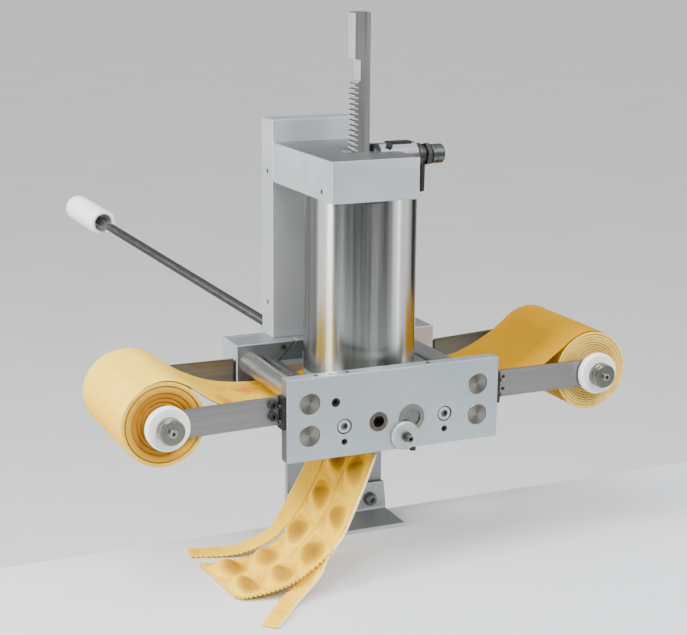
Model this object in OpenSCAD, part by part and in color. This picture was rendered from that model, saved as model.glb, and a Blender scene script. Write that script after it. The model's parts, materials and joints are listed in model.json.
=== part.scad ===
// Bench ravioli maker: two pocketed die rolls on a bolted frame, a filling
// cylinder with a rack driven piston above them, four arms that carry the two
// rolled dough sheets, and a cranked drive at the back.
// Frame: X along the front plate, +Y to the back, +Z up. The origin is on the
// table top, at the table's rear edge, in the middle of the foot bracket.

/* [Frame plates] */
// Width of the front plate
plate_w = 210; // [190:1:230]
// Height of the front plate
plate_h = 76; // [70:1:90]
// Thickness of the front plate
plate_t = 13; // [10:0.5:16]
// Height of the front plate's lower edge above the table
plate_z = 112; // [105:1:120]
// Clear distance between the front plate and the gear housing
frame_gap = 136; // [134:1:140]
// Diameter of the four tie bars
tie_d = 20; // [16:1:22]
// Width of the support plate that stands on the table
support_w = 101; // [90:1:106]
// Thickness of the support plate's head
support_t = 17; // [14:1:17]
// Thickness of the support plate's leg
leg_t = 6; // [5:0.5:8]

/* [Gear housing] */
// Width of the gear housing
house_w = 211; // [200:1:216]
// Left end of the gear housing
house_x = -96; // [-100:1:-92]
// Height of the gear housing
house_h = 64; // [60:1:66]
// Thickness of the gear housing without its cover
house_t = 33; // [30:1:34]
// Thickness of the housing cover
cover_t = 6; // [4:0.5:8]

/* [Column and top block] */
// Width of the column and of the top block
col_w = 85.5; // [80:0.5:90]
// Left side of the column
col_x = -53; // [-55:0.5:-50]
// Thickness of the column
col_t = 27.5; // [24:0.5:32]
// Top of the column above the table
col_top = 393.5; // [385:0.5:400]
// Height of the top block
block_h = 37.5; // [34:0.5:38]
// Underside of the top block
block_z = 335; // [334:1:340]
// Front face of the top block
block_y = -108; // [-110:0.5:-106]

/* [Filling press] */
// Outer radius of the filling cylinder
cyl_r = 52; // [48:0.5:52]
// Wall of the filling cylinder
cyl_wall = 3; // [2:0.25:4]
// Distance of the press axis from the table edge
press_y = -53; // [-54:0.5:-52]
// Side of the square rack bar
rack_s = 15; // [14:0.5:16]
// Distance of the rack from the middle, left is negative
rack_x = -2.6; // [-3:0.1:0]
// Top of the rack bar
rack_top = 497; // [490:1:505]
// Module of the rack and of all gears
gear_m = 1.5; // [1.5]
// Teeth of the feed pinion
pinion_n = 16; // [16]
// Height of the pinion axis
pinion_z = 355; // [354:0.5:356]

/* [Die rolls] */
// Teeth of each die roll gear
roll_gear_n = 22; // [22]
// Gap between the two die rolls
nip_gap = 0.5; // [0.4:0.1:0.8]
// Height of the roll axes above the table
roll_z = 140.4; // [139:0.2:142]
// Pocket depth
pocket_depth = 4; // [2:0.5:4]

/* [Dough arms] */
// Distance of each dough spindle from the middle
spindle_x = 214; // [205:1:220]
// Height of the spindle axes
spindle_z = 158; // [156:0.5:160]
// Height of the flat arms
arm_h = 25.5; // [22:0.5:28]
// Thickness of the flat arms
arm_t = 3; // [2.5:0.5:4]
// Diameter of the white flange discs
disc_d = 39; // [36:1:44]
// Outer radius of a rolled dough sheet
dough_r = 38; // [30:1:40]

/* [Crank] */
// Diameter of the crank rod
rod_d = 10; // [8:0.5:12]
// Length of the crank rod from the arm
rod_len = 480; // [420:5:500]
// Diameter of the grip
grip_d = 31; // [28:1:34]
// Length of the grip
grip_len = 85; // [75:1:95]

/* [Foot] */
// Depth of the foot bracket on the table
foot_l = 48; // [40:1:55]
// Height of the bracket's upright leg
leg_h = 33; // [30:1:38]
// Thickness of the bracket
foot_t = 4; // [3:0.5:5]

/* [Fits] */
// Radial clearance of running fits
run_fit = 0.05; // [0.03:0.01:0.08]

/* [Hidden] */
$fn = 64;
E = 0.01;
front_y1 = -119;                         // back face of the front plate
front_y0 = front_y1 - plate_t;           // front face
house_y0 = front_y1 + frame_gap;         // front face of the gear housing
house_y1 = house_y0 + house_t;
cover_y1 = house_y1 + cover_t;
house_z = 182 - house_h;
house_top = 182;
col_y0 = 31.5;
col_y1 = col_y0 + col_t;
block_top = block_z + block_h;
roll_x = gear_m * roll_gear_n / 2;       // 16.5
roll_r = roll_x - nip_gap / 2;
tie_x = 83.5;
tie_z = [164.7, 135.4];
tie_l = plate_t + frame_gap + 19;        // into the housing
base_z0 = 163;                           // hopper base underside
base_z1 = 171;
pinion_r = gear_m * pinion_n / 2;        // 12
pinion_x = rack_x - rack_s / 2 + gear_m - pinion_r - 0.2;
rack_pitch = PI * gear_m;
brake_z = 366.5;
arm_y = [-123, house_y0 + 1];
tab_t = 3.6;                             // thickness of the arm tabs
rear_tab_t = 2.4;
crank_y0 = 76;
crank_y1 = 90;
rod_base = [-32.4, 83, 179.5];
rod_dir = [-0.1495, 0.9834, 0.1031];
rod_az = atan2(rod_dir[1], rod_dir[0]);
rod_el = acos(rod_dir[2] / norm(rod_dir));
nylon = [0.93, 0.93, 0.90];
alu = [0.72, 0.75, 0.78];
steel = [0.62, 0.62, 0.62];
blackened = [0.10, 0.10, 0.11];
dough = [0.93, 0.80, 0.45];

// ---------- helpers ----------
// box from corner a to corner b with all edges chamfered by c
module cbox(a, b, c = 0.8) {
  s = b - a;
  hull() {
    translate(a + [c, c, 0]) cube(s - [2 * c, 2 * c, 0]);
    translate(a + [c, 0, c]) cube(s - [2 * c, 0, 2 * c]);
    translate(a + [0, c, c]) cube(s - [0, 2 * c, 2 * c]);
  }
}
module ycyl(x, z, r, y0, y1) translate([x, y0, z]) rotate([-90, 0, 0]) cylinder(h = y1 - y0, r = r);
module xcyl(y, z, r, x0, x1) translate([x0, y, z]) rotate([0, 90, 0]) cylinder(h = x1 - x0, r = r);
module zcyl(x, y, r, z0, z1) translate([x, y, z0]) cylinder(h = z1 - z0, r = r);
// turned part along Y: profile points are [radius, length]
module yturn(x, y, z, pts) translate([x, y, z]) rotate([-90, 0, 0]) rotate_extrude() polygon(pts);
module xturn(x, y, z, pts) translate([x, y, z]) rotate([0, 90, 0]) rotate_extrude() polygon(pts);
// turned cap screw head with a hexagon socket, axis along Y, head towards -Y
module ycap(x, y, z, r, h, shank_r, shank_l) {
  difference() {
    yturn(x, y - h, z, [[0, 0], [r - 0.6, 0], [r, 0.6], [r, h], [shank_r, h], [shank_r, h + shank_l], [0, h + shank_l]]);
    translate([x, y - h - E, z]) rotate([-90, 0, 0]) cylinder(h = h * 0.55, r = r * 0.52, $fn = 6);
  }
}
module xcap(x, y, z, r, h, shank_r, shank_l, s = 1) {
  // head towards -X for s = 1 and towards +X for s = -1
  difference() {
    translate([x, y, z]) rotate([0, s * 90, 0]) translate([0, 0, -h]) rotate_extrude()
      polygon([[0, 0], [r - 0.5, 0], [r, 0.5], [r, h], [shank_r, h], [shank_r, h + shank_l], [0, h + shank_l]]);
    translate([x, y, z]) rotate([0, s * 90, 0]) translate([0, 0, -h - E]) cylinder(h = h * 0.55, r = r * 0.52, $fn = 6);
  }
}
function inv(a) = tan(a) * 180 / PI - a;
function half_ang(rho, rb, n, back) = 90 / n + inv(20) - inv(acos(min(1, rb / rho))) - back;
function gear_pts(n, m, back) =
  let (r = n * m / 2, rb = r * cos(20), rr = r - 1.25 * m, ra = r + m,
       rad = [rr, max(rb, rr + 0.05), (max(rb, rr) + r) / 2, r, (r + ra) / 2, ra])
  [for (i = [0:n - 1]) let (c = i * 360 / n)
    each concat(
      [for (k = [0:5]) let (q = rad[k], a = c - half_ang(max(q, rb), rb, n, back)) [q * cos(a), q * sin(a)]],
      [for (k = [5:-1:0]) let (q = rad[k], a = c + half_ang(max(q, rb), rb, n, back)) [q * cos(a), q * sin(a)]])];
module gear_y(x, z, y0, y1, n, m, turn, bore, back = 0.35)
  difference() {
    translate([x, y1, z]) rotate([90, 0, 0]) rotate([0, 0, turn]) linear_extrude(y1 - y0) polygon(gear_pts(n, m, back));
    ycyl(x, z, bore, y0 - 1, y1 + 1);
  }

// ---------- frame ----------
module front_plate() color(alu) difference() {
  cbox([-plate_w / 2, front_y0, plate_z], [plate_w / 2, front_y1, plate_z + plate_h], 0.6);
  for (sx = [-1, 1], z = tie_z) ycyl(sx * tie_x, z, tie_d / 2, front_y0 - 1, front_y1 + 1);
  ycyl(-roll_x, roll_z, 9, front_y0 - 1, front_y1 + 1);
  ycyl(roll_x, roll_z, 12.5, front_y0 - 1, front_y1 + 1);
  for (sx = [-1, 1]) {
    ycyl(sx * 50, 140, 7.2, front_y0 - 1, front_y0 + 7);
    ycyl(sx * 50, 140, 4, front_y0 - 1, front_y1 + 1);
    ycyl(sx * 50, 125.7, 3, front_y0 - 1, front_y0 + 9);
  }
  ycyl(-58.6, 163.1, 4.2, front_y0 - 1, front_y0 + 8);
  ycyl(8.6, 125, 3, front_y0 - 1, front_y0 + 10);
  for (x = [-75, -61, -45, 35]) zcyl(x, -125.5, 2, plate_z + plate_h - 8, plate_z + plate_h + 1);
  zcyl(21.4, -125.5, 3, plate_z - 1, plate_z + 8);
  for (sx = [-1, 1], z = fr_rows) xcyl(-127, z, 1.5, sx * plate_w / 2 - 5, sx * plate_w / 2 + 5);
}

module support_plate() color(alu) difference() {
  translate([support_w / 2, 0, 0]) rotate([0, -90, 0]) linear_extrude(support_w)
    polygon([[0, 0], [base_z0, 0], [base_z0, support_t], [108, support_t], [102, leg_t], [0, leg_t]]);
  ycyl(-roll_x, roll_z, 9, -1, support_t + 1);
  ycyl(roll_x, roll_z, 11, -1, support_t + 1);
  for (sx = [-1, 1]) ycyl(sx * 36.4, 16.2, 3.4, -1, leg_t + 1);
  for (sx = [-1, 1]) ycyl(sx * 38, 127, 3.25, -1, support_t + 1);
}

module gear_housing() color(alu) difference() {
  cbox([house_x, house_y0, house_z], [house_x + house_w, house_y1, house_top], 1);
  // gear chamber, open to the back
  translate([-40, house_y0 + 6, 121.5]) cube([80, house_t, 41]);
  for (sx = [-1, 1], z = tie_z) ycyl(sx * tie_x, z, tie_d / 2, house_y0 - 1, house_y0 + 20);
  ycyl(-roll_x, roll_z, 9, house_y0 - 1, house_y0 + 8);
  ycyl(roll_x, roll_z, 11, house_y0 - 1, house_y0 + 8);
  // clamping saw cut at 45 degrees with its screw
  translate([-43.2, house_y0 + 5, 172.3]) rotate([0, -46, 0]) translate([-14, -6, -0.8]) cube([40, 12, 1.6]);
  translate([-47.5, house_y0 + 4.5, 176.1]) rotate([-90, 0, 0]) translate([0, 0, -6]) cylinder(h = 10, r = 2.6);
  for (sx = [-1, 1]) ycyl(sx * 38, 127, 2.75, house_y0 - 1, house_y0 + 5);
  for (x = [-88, 107], z = [125, 175]) ycyl(x, z, 2, house_y1 - 12, house_y1 + 1);
  for (x = [-47, 47]) ycyl(x, 125, 2, house_y1 - 12, house_y1 + 1);
  for (e = [0, 1], z = re_rows) xcyl(re_row_y, z, 1.5, e == 0 ? house_x - 1 : house_x + house_w - 1.4, e == 0 ? house_x + 1.4 : house_x + house_w + 1);
}

module housing_cover() color(alu) difference() {
  cbox([house_x, house_y1, house_z], [house_x + house_w, cover_y1, house_top], 0.8);
  ycyl(roll_x, roll_z, 10, house_y1 - 1, cover_y1 + 1);
  for (x = [-88, 107], z = [125, 175]) ycyl(x, z, 2.25, house_y1 - 1, cover_y1 + 1);
  for (x = [-47, 47]) ycyl(x, 125, 2.25, house_y1 - 1, cover_y1 + 1);
}

module cover_screws() color(blackened)
  for (p = [[-88, 125], [107, 125], [-88, 175], [107, 175], [-47, 125], [47, 125]])
    translate([0, 2 * cover_y1, 0]) mirror([0, 1, 0]) ycap(p[0], cover_y1, p[1], 3.5, 3.5, 2, 14);

module column() color(alu) difference() {
  cbox([col_x, col_y0, house_top], [col_x + col_w, col_y1, col_top], 0.6);
  for (z = [215.6, 343.7]) xcyl(44, z, 2.3, col_x - 1, col_x + 9);
  ycyl(pinion_x, pinion_z, 8, col_y0 - 1, col_y1 + 1);
}

module top_block() color(alu) difference() {
  cbox([col_x, block_y, block_z], [col_x + col_w, col_y0, block_top], 0.6);
  // square guide hole for the rack and the pinion chamber beside it
  translate([rack_x - rack_s / 2 - 0.2, press_y - rack_s / 2 - 0.2, block_z - 1]) cube([rack_s + 0.4, rack_s + 0.4, block_h + 2]);
  translate([pinion_x - 15, press_y - 5.6, pinion_z - 15]) cube([15 - pinion_x + rack_x - 6 - 0.2, 11.2, 29.4]);
  translate([-18, press_y - 4, pinion_z]) cube([9, 11.4, 30]);
  ycyl(pinion_x, pinion_z, 7, press_y - 36, press_y);
  ycyl(pinion_x, pinion_z, 8, press_y, col_y0 + 1);
  // cross bore for the rack brake
  xcyl(press_y, brake_z, 12.5, 9, col_x + col_w + 1);
  xcyl(press_y, brake_z, 5, 0, 12);
  xcyl(-85.6, 343.1, 2.2, col_x - 1, col_x + 9);
}

module tie_bars() color(steel)
  for (sx = [-1, 1], z = tie_z)
    yturn(sx * tie_x, front_y0, z, [[0, 0], [tie_d / 2 - 0.7, 0], [tie_d / 2, 0.7], [tie_d / 2, tie_l - 1], [tie_d / 2 - 1, tie_l], [0, tie_l]]);

// ---------- filling press ----------
module filling_cylinder() color([0.75, 0.75, 0.74]) translate([0, press_y, 0]) rotate_extrude($fn = 128)
  polygon([[cyl_r - cyl_wall, base_z1], [cyl_r, base_z1], [cyl_r, block_z - 0.5], [cyl_r - 0.5, block_z], [cyl_r - cyl_wall, block_z]]);

// disc that closes the cylinder round the rack
module cylinder_lid() color(alu) difference() {
  translate([0, press_y, block_z - 5]) cylinder(h = 5, r = cyl_r - cyl_wall - 0.1, $fn = 128);
  translate([rack_x - rack_s / 2 - 0.2, press_y - rack_s / 2 - 0.2, block_z - 6]) cube([rack_s + 0.4, rack_s + 0.4, 8]);
}

module hopper_base() color(alu) difference() {
  union() {
    cbox([-28, front_y1, base_z0], [28, support_t, base_z1], 0.6);
    translate([0, press_y, base_z0]) cylinder(h = base_z1 - base_z0, r = cyl_r);
    // wedge shaped filling nozzle over the nip
    translate([0, -8, 0]) rotate([90, 0, 0]) linear_extrude(102)
      polygon([[-8, base_z0 + E], [-7.2, 161.5], [-2.3, 153], [2.3, 153], [7.2, 161.5], [8, base_z0 + E]]);
  }
  for (y = [-98, -64]) translate([-2.4, y, 150]) cube([4.8, 24, 40]);
  translate([0, press_y, base_z0 + 3]) cylinder(h = 10, r = 46);
}

module piston() color(nylon) difference() {
  translate([0, press_y, 272]) rotate_extrude($fn = 128)
    polygon([[0, 0], [46, 0], [48.6, 2], [48.6, 5], [45.8, 5], [45.8, 9], [48.6, 9], [48.6, 14], [0, 14]]);
  translate([rack_x, press_y, 270]) cylinder(h = 20, r = 4);
}
module piston_seal() color(blackened) translate([0, press_y, 279]) rotate_extrude($fn = 128)
  translate([47.2, 0]) difference() { square([2.6, 3.6], center = true); translate([2.4, 0]) rotate(45) square(1.2, center = true); }

rack_teeth = 29;
function rack_side() =
  [for (i = [0:rack_teeth - 1]) let (z = pinion_z + (i - 11.5 + 0.0) * rack_pitch, h = rack_pitch / 4 - 0.08, a = tan(20))
    each [[gear_m * 1.25, z - h - gear_m * 1.25 * a + gear_m * 0 , 0], [0, z - h, 0], [-gear_m * 0.93, z - h + gear_m * 0.93 * a, 0],
          [-gear_m * 0.93, z + h - gear_m * 0.93 * a, 0], [0, z + h, 0], [gear_m * 1.25, z + h + gear_m * 1.25 * a, 0]]];
module rack_bar() color(steel) {
  s = rack_s / 2;
  px = -s + gear_m;                       // pitch line
  z0 = 286;
  zt = pinion_z + (rack_teeth - 12) * rack_pitch;
  translate([rack_x, 0, 0]) difference() {
    translate([0, press_y + s, 0]) rotate([90, 0, 0]) linear_extrude(rack_s)
      polygon(concat(
        [[s, z0], [s, rack_top - 1], [s - 1, rack_top], [-s + 1, rack_top], [-s, rack_top - 1], [-s, 456], [-s + 5.4, 455], [-s + 5.4, 436.4], [px + gear_m * 1.25, 435.8]],
        [for (i = [len(rack_side()) - 1:-1:0]) [px + rack_side()[i][0], rack_side()[i][1]]],
        [[px + gear_m * 1.25, pinion_z - 12.5 * rack_pitch], [-s, pinion_z - 12.7 * rack_pitch], [-s, z0]]));
    translate([0, press_y, z0 - 1]) cylinder(h = 22, r = 3.4);
  }
  // fixing screw of the piston
  translate([rack_x, press_y, 268]) { cylinder(h = 36, r = 3.4); cylinder(h = 4, r = 7); }
}

module feed_pinion() color(steel) gear_y(pinion_x, pinion_z, press_y - 5, press_y + 5, pinion_n, gear_m, 0, 5, 0.5);
module pinion_shaft() color(steel) {
  ycyl(pinion_x, pinion_z, 5, press_y - 34, col_y1 + 2);
  translate([pinion_x, col_y1 + 2, pinion_z]) rotate([-90, 0, 0]) cylinder(h = 14, r = 5.6, $fn = 6);
}
module pinion_bushes() color([0.72, 0.55, 0.30]) {
  difference() { ycyl(pinion_x, pinion_z, 7, press_y - 36, press_y - 6.2); ycyl(pinion_x, pinion_z, 5 + run_fit, press_y - 37, press_y); }
  difference() { ycyl(pinion_x, pinion_z, 8, press_y + 6.2, press_y + 24); ycyl(pinion_x, pinion_z, 5 + run_fit, press_y, press_y + 40); }
  difference() { ycyl(pinion_x, pinion_z, 8, col_y1 - 22, col_y1); ycyl(pinion_x, pinion_z, 5 + run_fit, 0, col_y1 + 1); }
}

// rack brake: a sprung plunger that bears on the rack's smooth side
module brake_barrel() color([0.80, 0.80, 0.82]) difference() {
  xturn(15.6, press_y, brake_z, [[0, 0], [12.5, 0], [12.5, 37.4], [11.5, 38.4], [0, 38.4]]);
  xcyl(press_y, brake_z, 7, 17, 40);
  xcyl(press_y, brake_z, 4 + run_fit, 14, 60);
  translate([24.3, press_y - 6, brake_z + 6]) rotate([30, 0, 0]) cylinder(h = 20, r = 3.2);
}
module barrel_collar() color(blackened) difference() {
  xturn(9.2, press_y, brake_z, [[0, 0], [10.8, 0], [12.4, 1.6], [12.4, 6.4], [0, 6.4]]);
  xcyl(press_y, brake_z, 4 + run_fit, 8, 20);
}
module barrel_strip() color(blackened) {
  // flat stop strip along the top of the barrel and its set screw
  difference() {
    cbox([25.6, press_y - 5, brake_z + 11.2], [49.4, press_y + 5, brake_z + 13.6], 0.6);
    xcyl(press_y, brake_z, 12.5, 20, 53);
  }
  translate([24.3, press_y - 6, brake_z + 6]) rotate([30, 0, 0]) cylinder(h = 6.2, r = 3.2);
}
module brake_plunger() color(steel) {
  x0 = rack_x + rack_s / 2 + 0.2;
  xturn(x0, press_y, brake_z, [[0, 0], [3, 0], [4, 1], [4, 21.7 - x0], [6, 21.7 - x0], [6, 25.7 - x0], [4, 25.7 - x0], [4, 54.4 - x0], [3, 54.4 - x0], [3, 78 - x0], [0, 78 - x0]]);
}
module brake_spring() color(steel) translate([26, press_y, brake_z]) rotate([0, 90, 0]) {
  linear_extrude(height = 13.6, twist = -360 * 4, slices = 80, $fn = 12)
    polygon([[4.6, 0], [5.8, 0], [5.3, 2.4], [3.9, 3.2], [3.4, 3.1], [4.2, 1.8]]);
}
module release_lever() color(blackened) difference() {
  union() {
    xcyl(press_y, brake_z, 8.5, 60, 63);
    translate([60, 0, 0]) rotate([90, 0, 90]) linear_extrude(3)
      polygon([[press_y - 5.5, brake_z], [press_y - 4.5, 334], [press_y - 2.5, 332], [press_y + 3.5, 332], [press_y + 5.5, 334], [press_y + 6.5, brake_z]]);
  }
  xcyl(press_y, brake_z, 3 + run_fit, 59, 64);
}
// stop ring behind the lever and the hexagon nut in front of it
module brake_nut() color(steel) difference() {
  union() {
    xturn(54.8, press_y, brake_z, [[0, 0], [9.6, 0], [10.6, 1], [10.6, 4.3], [10, 4.9], [0, 4.9]]);
    intersection() {
      translate([63.3, press_y, brake_z]) rotate([0, 90, 0]) rotate([0, 0, 15]) cylinder(h = 5.2, r = 11.2, $fn = 6);
      xturn(63.3, press_y, brake_z, [[0, 0], [10.2, 0], [10.9, 0.8], [10.9, 4.2], [9.6, 5.2], [0, 5.2]]);
    }
  }
  xcyl(press_y, brake_z, 3, 54, 72);
}
module tension_knob() color(steel) {
  difference() {
    xturn(68.5, press_y, brake_z, [[0, 0], [7, 0], [7, 1.6], [8.6, 1.6], [9.1, 2.2], [9.1, 5.2], [8.7, 5.6], [8.7, 6.6], [9.1, 7], [9.1, 12.8], [8.2, 13.8], [0, 13.8]]);
    xcyl(press_y, brake_z, 3, 68, 78);
  }
}

// ---------- die rolls ----------
module pockets(x, turn) {
  for (y = [-94, -52], k = [0:1])
    translate([x, y, roll_z]) rotate([0, turn + 180 * k, 0]) translate([0, 0, roll_r + 26 - pocket_depth]) sphere(r = 26);
  for (y = [-114, -73, -31])
    translate([x, y, roll_z]) rotate([-90, 0, 0]) rotate_extrude() polygon([[roll_r + 1, -1.7], [roll_r + 1, 1.7], [roll_r - 1, 0]]);
}
module die_roll_left() color([0.75, 0.62, 0.38]) difference() {
  union() {
    ycyl(-roll_x, roll_z, roll_r, -118, -1);
    ycyl(-roll_x, roll_z, 6, front_y0 + 3.4, house_y1 - 3);
    ycyl(-roll_x, roll_z, 10, -118.6, -0.4);
  }
  pockets(-roll_x, 90);
  ycyl(-roll_x, roll_z, 3, front_y0 - 1, front_y0 + 14);
}
module die_roll_right() color([0.75, 0.62, 0.38]) difference() {
  union() {
    ycyl(roll_x, roll_z, roll_r, -118, -1);
    ycyl(roll_x, roll_z, 8.2, front_y0 + 0.5, -110);
    ycyl(roll_x, roll_z, 7, -10, crank_y1 + 2);
    ycyl(roll_x, roll_z, 12, -118.6, -0.4);
  }
  pockets(roll_x, 90);
}
module roll_gear_left() color(steel) gear_y(-roll_x, roll_z, 27, 39, roll_gear_n, gear_m, 0, 6);
module roll_gear_right() color(steel) gear_y(roll_x, roll_z, 27, 39, roll_gear_n, gear_m, 180 / roll_gear_n, 7);
module ring_y(x, z, ro, ri, y0, y1) difference() { ycyl(x, z, ro, y0, y1); ycyl(x, z, ri, y0 - 1, y1 + 1); }
module front_bush_left() color([0.16, 0.14, 0.13]) difference() {
  ycyl(-roll_x, roll_z, 9, front_y0 - 0.4, front_y1);
  ycyl(-roll_x, roll_z, 6 + run_fit, front_y0 + 3, front_y1 + 1);
  ycyl(-roll_x, roll_z, 5.3, front_y0 - 1, front_y0 + 5);
}
module front_bush_right() color(steel) ring_y(roll_x, roll_z, 12.5, 8.2 + run_fit, front_y0 - 0.8, front_y1);
module rear_bushes() color([0.72, 0.55, 0.30]) {
  ring_y(-roll_x, roll_z, 9, 6 + run_fit, 0, house_y0 + 6);
  ring_y(roll_x, roll_z, 11, 7 + run_fit, 0, house_y0 + 6);
  ring_y(roll_x, roll_z, 10, 7 + run_fit, house_y1, cover_y1);
}
module clamp_disc() color([0.86, 0.87, 0.88]) difference() {
  yturn(8.6, front_y0 - 4.6, 125, [[0, 0], [12, 0], [13.2, 1.2], [13.2, 3.2], [12.6, 3.8], [0, 3.8]]);
  ycyl(8.6, 125, 3.05, front_y0 - 6, front_y0);
}
module clamp_stud() color(steel) difference() {
  yturn(8.6, front_y0 - 15, 125, [[0, 0], [2.6, 0], [3.2, 0.6], [3.2, 7], [4.6, 7], [4.6, 10.4], [3, 10.4], [3, 24], [0, 24]]);
  translate([8.6, front_y0 - 15 - E, 125]) rotate([-90, 0, 0]) cylinder(h = 4, r = 1.7, $fn = 6);
}
module scraper_blades() color(steel)
  for (sx = [-1, 1]) translate([sx * 22, 0, 0]) rotate([90, 0, 0]) linear_extrude(-front_y1)
    polygon([[-sx * 1.2, 115], [sx * 1.2, 115], [sx * 1.2, 121.2], [-sx * 6, 123], [-sx * 7.2, 123], [-sx * 1.2, 119.4]]);

module guide_bars() color(steel)
  for (sx = [-1, 1]) translate([sx * 60.3, front_y1, 165.7]) rotate([0, sx * -24, 0]) translate([-8, 0, -2]) cube([16, frame_gap, 3]);

// ---------- fasteners ----------
module cap_screws() color([0.45, 0.45, 0.46]) for (sx = [-1, 1]) {
  ycap(sx * 50, front_y0 + 7, 140, 6.5, 6.6, 4, plate_t - 7);
  ycap(sx * 38, 0, 127, 4.8, 4.8, 2.75, 21);
}
module set_screws() color(blackened) {
  for (sx = [-1, 1]) difference() {
    ycyl(sx * 50, 125.7, 3, front_y0 + 1, front_y0 + 9);
    translate([sx * 50, front_y0 + 1 - E, 125.7]) rotate([-90, 0, 0]) cylinder(h = 3, r = 1.5, $fn = 6);
  }
  difference() {
    ycyl(-58.6, 163.1, 4.2, front_y0 + 1, front_y0 + 8);
    translate([-58.6, front_y0 + 1 - E, 163.1]) rotate([-90, 0, 0]) cylinder(h = 4, r = 2.3, $fn = 6);
  }
  for (x = [-75, -61, -45, 35]) zcyl(x, -125.5, 2, plate_z + plate_h - 8, plate_z + plate_h + 0.3);
  zcyl(21.4, -125.5, 3, plate_z - 5, plate_z + 8);
  ycyl(-47.5, 176.1, 2.6, house_y0 - 0.8, house_y0 + 8);
  for (z = [215.6, 343.7]) xcyl(44, z, 2.3, col_x + 0.4, col_x + 9);
  xcyl(-85.6, 343.1, 2.2, col_x + 0.4, col_x + 9);
}

// ---------- foot ----------
module foot_bracket() color([0.66, 0.67, 0.66]) difference() {
  translate([-54, 0, 0]) rotate([90, 0, 90]) linear_extrude(108) difference() {
    union() {
      translate([-foot_l, 0]) square([foot_l - 3, foot_t]);
      translate([-foot_t, 3]) square([foot_t, leg_h - 3]);
      intersection() { translate([-foot_t - 3, foot_t + 3]) circle(r = 7); translate([-foot_t - 3, 0]) square([7, 7]); }
    }
    translate([-foot_t - 3, foot_t + 3]) circle(r = 3);
  }
  for (sx = [-1, 1]) ycyl(sx * 36.4, 16.2, 4.25, -10, 5);
  // upright leg narrows a little towards its top
  for (sx = [-1, 1]) translate([sx * 54, 1, 0]) rotate([90, 0, 0]) linear_extrude(10)
    polygon([[0, leg_h + 1], [sx * 3, leg_h + 1], [sx * 3, 10], [0, 10], [-sx * 2.4, leg_h - 1], [-sx * 3.6, leg_h + 1]]);
}
module bracket_bolts() color(steel) for (sx = [-1, 1]) {
  ycap(sx * 36.4, -foot_t - 1.5, 16.2, 5.6, 4.4, 3.4, foot_t + 1.5 + leg_t);
  difference() { ycyl(sx * 36.4, 16.2, 7, -foot_t - 1.5, -foot_t); ycyl(sx * 36.4, 16.2, 3.4, -10, 2); }
}

// ---------- dough arms ----------
// the two dough axles do not sit quite evenly
function axle_x(sx) = sx * spindle_x + 1.75;
function axle_z(sx) = spindle_z + sx * 1.1;
module arm(x_in, z_in, y0, sx, pin, grid, skin = -1) {
  l = norm([axle_x(sx) - x_in, axle_z(sx) - z_in]);
  a = atan2(z_in - axle_z(sx), abs(axle_x(sx) - x_in));
  translate([x_in, y0, z_in]) rotate([0, sx * a, 0]) rotate([90, 0, 0]) translate([0, 0, -arm_t]) difference() {
    linear_extrude(arm_t) difference() {
      union() {
        translate([sx > 0 ? 0.5 : -l, -arm_h / 2]) square([l - 0.5, arm_h]);
        translate([sx * l, 0]) circle(r = arm_h / 2);
      }
      translate([sx * l, 0]) circle(r = 6 + run_fit);
    }
    for (g = grid) translate([sx * g[0], g[1], -1]) cylinder(h = arm_t + 1 - skin, r = pin);
  }
}
module arm_front_left() color(steel) arm(-plate_w / 2 - tab_t, 159, arm_y[0], -1, 2.7, [[7, -4], [7, 6.5]]);
module arm_front_right() color(steel) arm(plate_w / 2 + tab_t, 159, arm_y[0], 1, 1.75, [[7, -5], [7, 6.5]]);
module arm_rear_left() color(steel) arm(house_x - rear_tab_t, 156.3, arm_y[1], -1, 1.85, [[7, -6], [7, 6]], 1.1);
module arm_rear_right() color(steel) arm(house_x + house_w + rear_tab_t, 154.2, arm_y[1], 1, 2.1, [[7, -6], [7, 6]], 1.1);

// black angle tab on the side face of a plate, with a lip behind the arm
module tab(x, t, y0, y1, sx, lip_y, z0, z1, row, rows, pins, pin_r) difference() {
  union() {
    translate([sx > 0 ? x : x - t, y0, z0]) cube([t, y1 - y0, z1 - z0]);
    translate([sx > 0 ? x : x - 12, lip_y, z0 + 2]) cube([12, 3, z1 - z0 - 4]);
  }
  for (z = rows) xcyl(row, z, 1.5, min(x, x + sx * 6) - 1, max(x, x + sx * 6) + 1);
  // room for the screw heads in the lip
  for (z = rows) xcyl(row, z, 2.5, min(x + sx * t, x + sx * (t + 2.3)), max(x + sx * t, x + sx * (t + 2.3)));
  for (z = pins) ycyl(x + sx * (t + 7), z, pin_r, lip_y - 1, lip_y + 4);
}
fr_rows = [150, 164];
re_rows = [152, 161];
re_row_y = 25.6;
module arm_tabs() color(blackened) {
  tab(-plate_w / 2, tab_t, -130, -118.5, -1, arm_y[0] + arm_t, 143, 172.5, -127, fr_rows, [155, 165.5], 2.3);
  tab(plate_w / 2, tab_t, -130, -118.5, 1, arm_y[0] + arm_t, 143, 172.5, -127, fr_rows, [154, 165.5], 1.6);
  tab(house_x, rear_tab_t, arm_y[1] + 0.3, 28, -1, arm_y[1] + arm_t, 144, 166.5, re_row_y, re_rows, [150.2, 162.2], 1.6);
  tab(house_x + house_w, rear_tab_t, arm_y[1] + 0.3, 28, 1, arm_y[1] + arm_t, 142, 165.5, re_row_y, re_rows, [148.4, 160.4], 1.6);
}
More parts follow.
